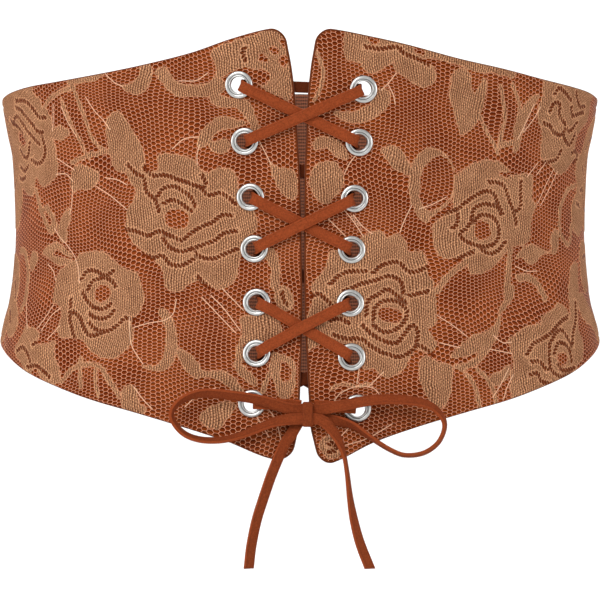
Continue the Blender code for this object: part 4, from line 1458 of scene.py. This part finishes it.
class BELT_OT_eyelets(bpy.types.Operator):
    """Turn one eyelet and seat a copy in every hole"""

    bl_idname = "belt.eyelets"
    bl_label = "Eyelets"

    def execute(self, context):
        deselect()
        first = EYELET_PROFILE[0]
        bpy.ops.mesh.primitive_circle_add(
            vertices=context.scene.belt_sizes.eyelet_sides, radius=first.radius * MM,
            location=(0, 0, first.height * MM),
        )
        bpy.ops.object.transform_apply(location=True, rotation=False, scale=False)
        model = context.object
        bpy.ops.object.mode_set(mode="EDIT")
        bpy.ops.mesh.select_all(action="SELECT")
        for before, after in zip(EYELET_PROFILE, EYELET_PROFILE[1:] + EYELET_PROFILE[:1]):
            bpy.ops.mesh.extrude_region_move(
                TRANSFORM_OT_translate={"value": (0, 0, (after.height - before.height) * MM)}
            )
            scale = after.radius / before.radius
            bpy.ops.transform.resize(value=(scale, scale, 1), center_override=(0, 0, 0))
        bpy.ops.mesh.select_all(action="SELECT")
        bpy.ops.mesh.remove_doubles(threshold=0.00001)
        bpy.ops.mesh.normals_make_consistent(inside=False)
        bpy.ops.object.mode_set(mode="OBJECT")
        smooth = model.modifiers.new("smooth", "SUBSURF")
        smooth.levels = smooth.render_levels = 1
        bpy.ops.object.modifier_apply(modifier="smooth")
        points = mesh_points(model.data) / MM
        reach = np.hypot(points[:, 0], points[:, 1])
        # Painted shade: a ring in the groove, the outer edge and the bore are darkened in the metal's
        # colour
        groove = np.exp(-((reach - 4.55) / 0.22) ** 2) + smooth_steps(5.9, 6.2, reach)
        inside = (1 - smooth_steps(3.6, 3.9, reach)) * (1 - smooth_steps(0.2, 1.1, points[:, 2]))
        set_attribute(model.data, "groove", np.clip(np.maximum(groove, inside), 0, 1))
        for side_name in SIDES:
            for row in ROWS:
                mesh = model.data.copy()
                mesh.transform(eyelet_matrix(side_name, row))
                node = f"eyelet_{side_name}_{row}"
                new_piece("ring_" + node, mesh, [finish_named("metal")], "eyelet_metal", node)
        bpy.data.objects.remove(model, do_unlink=True)
        return {"FINISHED"}


def lace_section():
    """Half-width and half-thickness shares of a lace's rounded section, once round."""
    half_width, half_thickness, corner = LACE_WIDTH / 2, LACE_THICKNESS / 2, 0.00042
    section = []
    for across, up, start in ((1, 1, 0), (-1, 1, 90), (-1, -1, 180), (1, -1, 270)):
        for angle in (0, 30, 60, 90):
            turn = math.radians(start + angle)
            section.append((
                across * (half_width - corner) + corner * math.cos(turn),
                up * (half_thickness - corner) + corner * math.sin(turn),
            ))
        if across * up > 0:
            for share in (0.5, 0.0, -0.5):
                section.append((across * share * half_width, up * half_thickness))
    return section


def lace_mesh(name, points, sides, painted_shade=0.0, level_end=False):
    """A flat lace through points, each with the direction across it; its end may be cut level."""
    points, sides = np.asarray(points), np.asarray(sides)
    along = unit_rows(np.gradient(points, axis=0))
    sides = unit_rows(sides - along * (sides * along).sum(1, keepdims=True))
    faces_out = np.cross(sides, along)
    section = np.array(lace_section())
    rings = (
        points[:, None] + sides[:, None] * section[:, 0, None] + faces_out[:, None] * section[:, 1, None]
    )
    if level_end:
        rings[-1] += along[-1] * ((points[-1, 2] - rings[-1, :, 2]) / along[-1, 2])[:, None]
    count, round_count = rings.shape[:2]
    index = np.arange(count * round_count).reshape(count, round_count)
    after = np.roll(index, -1, axis=1)
    quads = np.stack([index[:-1], index[1:], after[1:], after[:-1]], -1).reshape(-1, 4)
    faces = quads.tolist() + [index[0].tolist(), index[-1][::-1].tolist()]
    mesh = new_mesh(name, rings.reshape(-1, 3), faces)
    lengths = run_lengths(points)
    chart = np.stack(np.broadcast_arrays(section[None, :, 0], lengths[:, None]), -1)
    set_chart(mesh, chart.reshape(-1, 2))
    rim = smooth_steps(0.0017, 0.0025, np.abs(section[:, 0]))
    set_attribute(mesh, "rim", np.broadcast_to(rim, (count, round_count)).ravel())
    # Each station's share of painted shade
    set_attribute(mesh, "painted_shade", np.broadcast_to(np.reshape(painted_shade, (-1, 1)), (count, round_count)).ravel())
    work = bmesh.new()
    work.from_mesh(mesh)
    bmesh.ops.recalc_face_normals(work, faces=work.faces)
    work.to_mesh(mesh)
    work.free()
    return mesh, float(lengths[-1])


def resample(points, sides, step):
    """The same lace with stations an even step apart on a smooth curve."""
    fine_points, fine_sides = smooth_curve(points, 6), smooth_curve(sides, 6)
    lengths = run_lengths(fine_points)
    count = max(3, round(lengths[-1] / step))
    goals = np.linspace(0, lengths[-1], count + 1)
    new_points = np.stack([np.interp(goals, lengths, fine_points[:, axis]) for axis in range(3)], -1)
    new_sides = np.stack([np.interp(goals, lengths, fine_sides[:, axis]) for axis in range(3)], -1)
    return new_points, new_sides


def knot_middle():
    """How far right the middle of the knot lies."""
    return opening_middle(-KNOT_HEIGHT) + KNOT_SHIFT


def knot_seat():
    """The middle of the bow on the panels' outer face."""
    return panel_face(np.array([knot_middle()]), np.array([-KNOT_HEIGHT]))[0][0]


def run_stations(start, end, behind, lifted):
    """Lace along the panels between two eyelets: points and the face's normals."""
    start, end = np.array(start), np.array(end)
    length = np.linalg.norm(end - start)
    rim = EYELET_RADIUS + LACE_THICKNESS / 2
    landing = rim + LACE_LANDING
    if behind:
        over_rim, low, high = LACE_BEHIND_RIM, -PANEL_WALL - LACE_ON_PANEL, -PANEL_WALL - LACE_ON_LACE
    else:
        over_rim, low, high = LACE_ON_RIM, LACE_ON_PANEL, LACE_ON_LACE
    knots = (rim, landing, landing + (length - 2 * landing) / 4, length / 2)
    levels = (over_rim, (low + high) / 2, high, high) if lifted else (over_rim, low, low, low)
    reaches = np.linspace(rim, length - rim, 17)
    level = np.interp(np.minimum(reaches, length - reaches), knots, levels)
    places = start + (end - start) * (reaches / length)[:, None]
    points, normals = panel_face(places[:, 0], places[:, 1])
    return points + normals * level[:, None], -normals if behind else normals


def sides_of(points, normals):
    """Directions across a lace that lies on a face."""
    after = np.concatenate([points[1:], points[-1:]])
    before = np.concatenate([points[:1], points[:-1]])
    return unit_rows(np.cross(after - before, normals))


def eyelet_middle(side_name, row):
    """Sideways place and height of an eyelet."""
    middle = eyelet_frame(side_name, row)[0]
    return middle[0], middle[2]


def knot_run(side_name):
    """Lace from a lowest eyelet to the knot."""
    side = SIDES[side_name]
    start = np.array(eyelet_middle(side_name, 7))
    end = np.array([knot_middle() + side * (KNOT_WIDTH / 2 + CLEARANCE), KNOT_ENTRY - KNOT_HEIGHT])
    length = np.linalg.norm(end - start)
    rim = EYELET_RADIUS + LACE_THICKNESS / 2
    reaches = np.linspace(rim, length, 12)
    level = np.interp(reaches, (rim, rim + LACE_LANDING), (LACE_ON_RIM, LACE_ON_PANEL))
    places = start + (end - start) * (reaches / length)[:, None]
    points, normals = panel_face(places[:, 0], places[:, 1])
    points = points + normals * level[:, None]
    return points, sides_of(points, normals)


def bend_stations(eyelet, goal, behind):
    """Lace from an eyelet's bore over its rim, first in the bore, and its direction."""
    middle, _, _, out = eyelet
    line = goal - middle
    along = line - out * line.dot(out)
    along /= np.linalg.norm(along)
    level = LACE_BEHIND_RIM if behind else LACE_ON_RIM
    way = -1 if behind else 1
    angles = np.linspace(0, math.pi / 2, 5)
    reach = LACE_IN_BORE + LACE_BEND * (1 - np.cos(angles))
    rise = level - way * LACE_BEND + way * LACE_BEND * np.sin(angles)
    return middle + along * reach[:, None] + out * rise[:, None], along


class BELT_OT_lacing(bpy.types.Operator):
    """Thread the flat lace through the eyelets"""

    bl_idname = "belt.lacing"
    bl_label = "Lacing"

    def execute(self, context):
        down = [("left" if row % 2 else "right", row) for row in reversed(ROWS)]
        back = [("right" if row % 2 else "left", row) for row in ROWS]
        order = down + back
        last = len(order) - 1
        eyelets = [eyelet_frame(*name) for name in order]
        first_run, final_run = knot_run(order[0][0]), knot_run(order[last][0])
        points, sides = [first_run[0][::-1]], [-first_run[1][::-1]]
        for index, eyelet in enumerate(eyelets):
            downward = index % 2 == 0
            out = eyelet[3] if downward else -eyelet[3]
            before = eyelets[index - 1][0] if index else first_run[0][-1]
            after = eyelets[index + 1][0] if index < last else final_run[0][-1]
            arrive, along_in = bend_stations(eyelet, before, not downward)
            leave, along_out = bend_stations(eyelet, after, downward)
            middle_way = (along_in + along_out) / np.linalg.norm(along_in + along_out)
            points += [arrive[::-1], [(arrive[0] + leave[0]) / 2], leave]
            sides += [
                np.tile(np.cross(out, along_in), (len(arrive), 1)),
                [np.cross(out, middle_way)],
                np.tile(np.cross(out, along_out), (len(leave), 1)),
            ]
            if index < last:
                ends = eyelet_middle(*order[index]), eyelet_middle(*order[index + 1])
                run, normals = run_stations(*ends, downward, index > last // 2)
                points.append(run)
                sides.append(sides_of(run, normals))
        points.append(final_run[0])
        sides.append(final_run[1])
        points, sides = resample(np.concatenate(points), np.concatenate(sides), LACING_STEP)
        turns = np.arctan2(points[:, 0], -points[:, 1])
        depths = body_reach(turns, points[:, 2], PANEL_OUT) - np.hypot(points[:, 0], points[:, 1])
        # Painted shade on lace that sinks below the panels' outer face, into the bores and behind the
        # panels
        painted_shade = SHADE_IN_BORE * smooth_steps(0.0005, 0.002, depths)
        mesh, _ = lace_mesh("lacing_lace", points, sides, painted_shade)
        new_piece("lacing_lace", mesh, [finish_named("suede")], "suede_lace", "lacing")
        return {"FINISHED"}


class BELT_OT_bow(bpy.types.Operator):
    """Tie the bow: its knot, two loops and two free ends"""

    bl_idname = "belt.bow"
    bl_label = "Bow"

    def execute(self, context):
        seat = knot_seat()
        self.make_knot(context)
        strands = {
            "bow_loop_left": (BOW_LOOP_LEFT, "object", "medium", "loose"),
            "bow_loop_right": (BOW_LOOP_RIGHT, "object", "medium", "loose"),
            "lace_end_left": (LACE_END_LEFT, "bare", "limp", "hanging"),
            "lace_end_right": (LACE_END_RIGHT, "bare", "limp", "hanging"),
        }
        for node, (route, far_end, stiffness, lay) in strands.items():
            chosen = smooth_curve(route, 8)
            points = seat + np.stack([chosen[:, 0], -chosen[:, 1], chosen[:, 2]], -1)
            along = unit_rows(np.gradient(points, axis=0))
            flat = unit_rows(np.cross(along, (0.0, -1.0, 0.0)))
            edge = np.cross(flat, along)
            turn = np.radians(chosen[:, 3])[:, None]
            sides = flat * np.cos(turn) + edge * np.sin(turn)
            for end, inner in ((0, 1), (-1, -2)) if far_end == "object" else ((0, 1),):
                step = points[end] - points[inner]
                tucked = points[end] + step / np.linalg.norm(step) * KNOT_TUCK
                stack = (tucked[None], points) if end == 0 else (points, tucked[None])
                side_stack = (sides[:1], sides) if end == 0 else (sides, sides[-1:])
                points, sides = np.concatenate(stack), np.concatenate(side_stack)
            points, sides = resample(points, sides, BOW_STEP)
            mesh, length = lace_mesh("suede_" + node, points, sides, SHADE_OF_BOW, far_end == "bare")
            piece = new_piece("suede_" + node, mesh, [finish_named("suede")], "suede_lace", node)
        return {"FINISHED"}

    def make_knot(self, context):
        """The turn of lace round the middle of the bow."""
        low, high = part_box("bow_knot")
        middle, size = (low + high) / 2, high - low
        deselect()
        bpy.ops.mesh.primitive_cube_add(size=1, location=middle)
        knot = context.object
        knot.scale = size
        bpy.ops.object.transform_apply(location=True, rotation=False, scale=True)
        knot.name = knot.data.name = "suede_bow_knot"
        bevel = knot.modifiers.new("bends", "BEVEL")
        bevel.width = 0.0010
        bevel.segments = 5
        bpy.ops.object.modifier_apply(modifier="bends")
        set_attribute(knot.data, "rim", np.zeros(len(knot.data.vertices)))
        # Painted shade on the knot
        set_attribute(knot.data, "painted_shade", np.full(len(knot.data.vertices), SHADE_OF_KNOT))
        set_chart(knot.data, mesh_points(knot.data)[:, [0, 2]])
        finish_piece(knot, [finish_named("suede")], "suede_lace", "bow_knot")


# The white floor, bent up into a backdrop
FLOOR_SIZE = 8
WALL_HEIGHT = 4
CORNER_ROUND = 1.2
NEAR = 0.1


class BELT_OT_stage(bpy.types.Operator):
    """Set up the floor, backdrop, lights and camera"""

    bl_idname = "belt.stage"
    bl_label = "Stage"

    def execute(self, context):
        stage = context.scene.belt_stage
        floor_height = -stage.floor_drop
        deselect()
        bpy.ops.mesh.primitive_plane_add(size=FLOOR_SIZE, location=(0, 0, floor_height))
        bpy.ops.object.transform_apply(location=True, rotation=False, scale=False)
        floor = context.object
        floor.name = floor.data.name = "stage_floor"
        bpy.ops.object.mode_set(mode="EDIT")
        work = bmesh.from_edit_mesh(floor.data)
        for edge in work.edges:
            edge.select_set(all(v.co.y > FLOOR_SIZE / 2 - NEAR for v in edge.verts))
        bmesh.update_edit_mesh(floor.data)
        bpy.ops.mesh.extrude_region_move(TRANSFORM_OT_translate={"value": (0, 0, WALL_HEIGHT)})
        bpy.ops.mesh.select_all(action="DESELECT")
        work = bmesh.from_edit_mesh(floor.data)
        for edge in work.edges:
            back = all(v.co.y > FLOOR_SIZE / 2 - NEAR for v in edge.verts)
            edge.select_set(back and all(v.co.z < floor_height + NEAR for v in edge.verts))
        bmesh.update_edit_mesh(floor.data)
        bpy.ops.mesh.bevel(offset=CORNER_ROUND, segments=16)
        bpy.ops.object.mode_set(mode="OBJECT")
        floor.data.shade_smooth()
        finish = Finish("stage_white", {"Roughness": 0.9, "Base Color": (0.93, 0.93, 0.93, 1.0)})
        floor.data.materials.append(finish.material)

        world = bpy.data.worlds.new("studio")
        world.use_nodes = True
        background = world.node_tree.nodes["Background"]
        background.inputs["Color"].default_value = (1.0, 0.99, 0.98, 1.0)
        background.inputs["Strength"].default_value = stage.sky
        context.scene.world = world
        for name, place, aim, size, power in (
            ("key", (-0.7, -1.9, 1.3), (0, 0, 0), 1.2, stage.key),
            ("fill_left", (-1.7, -0.7, 0.2), (0, 0, 0), 1.0, stage.fill),
            ("fill_right", (1.7, -0.7, 0.2), (0, 0, 0), 1.0, stage.fill),
            ("backdrop", (0, 1.6, 2.0), (0, 3.6, 0.2), 2.4, stage.key * 3),
        ):
            light = bpy.data.lights.new(name, "AREA")
            light.energy = power
            light.size = size
            lamp = bpy.data.objects.new(name, light)
            lamp.location = place
            lamp.rotation_euler = (Vector(aim) - Vector(place)).to_track_quat("-Z", "Y").to_euler()
            context.scene.collection.objects.link(lamp)

        camera = bpy.data.cameras.new("camera")
        camera.sensor_width = 36.0
        camera.lens = 36.0 * stage.distance / (600 * stage.pixel)
        camera.clip_start = 0.05
        holder = bpy.data.objects.new("camera", camera)
        holder.location = (0, -stage.distance, stage.camera_height)
        aim = Vector((0, 0, stage.camera_height - stage.aim_drop))
        holder.rotation_euler = (aim - holder.location).to_track_quat("-Z", "Y").to_euler()
        context.scene.collection.objects.link(holder)
        context.scene.camera = holder
        context.scene.view_settings.view_transform = "Standard"
        return {"FINISHED"}


OPERATORS = (
    BELT_OT_stage,
    BELT_OT_bow,
    BELT_OT_lacing,
    BELT_OT_eyelets,
    BELT_OT_panels,
    BELT_OT_band,
)


class BELT_PT_pieces(bpy.types.Panel):
    """Lists the belt's pieces and settings"""

    bl_idname = "BELT_PT_pieces"
    bl_label = "Corset belt"
    bl_space_type = "VIEW_3D"
    bl_region_type = "UI"
    bl_category = "Corset belt"

    def draw(self, context):
        for operator in OPERATORS:
            self.layout.operator(operator.bl_idname)
        for group in (context.scene.belt_colours, context.scene.belt_sizes, context.scene.belt_stage):
            box = self.layout.box()
            for name in group.bl_rna.properties.keys():
                if name not in ("rna_type", "name"):
                    box.prop(group, name)


CLASSES = (BeltColours, BeltSizes, BeltStage, *OPERATORS, BELT_PT_pieces)


def register():
    for kind in CLASSES:
        bpy.utils.register_class(kind)
    bpy.types.Scene.belt_colours = PointerProperty(type=BeltColours)
    bpy.types.Scene.belt_sizes = PointerProperty(type=BeltSizes)
    bpy.types.Scene.belt_stage = PointerProperty(type=BeltStage)


def unregister():
    for name in ("belt_stage", "belt_sizes", "belt_colours"):
        delattr(bpy.types.Scene, name)
    for kind in reversed(CLASSES):
        bpy.utils.unregister_class(kind)


def main():
    register()
    bpy.ops.belt.stage()
    bpy.ops.belt.bow()
    bpy.ops.belt.lacing()
    bpy.ops.belt.eyelets()
    bpy.ops.belt.panels()
    bpy.ops.belt.band()


if __name__ == "__main__":
    main()
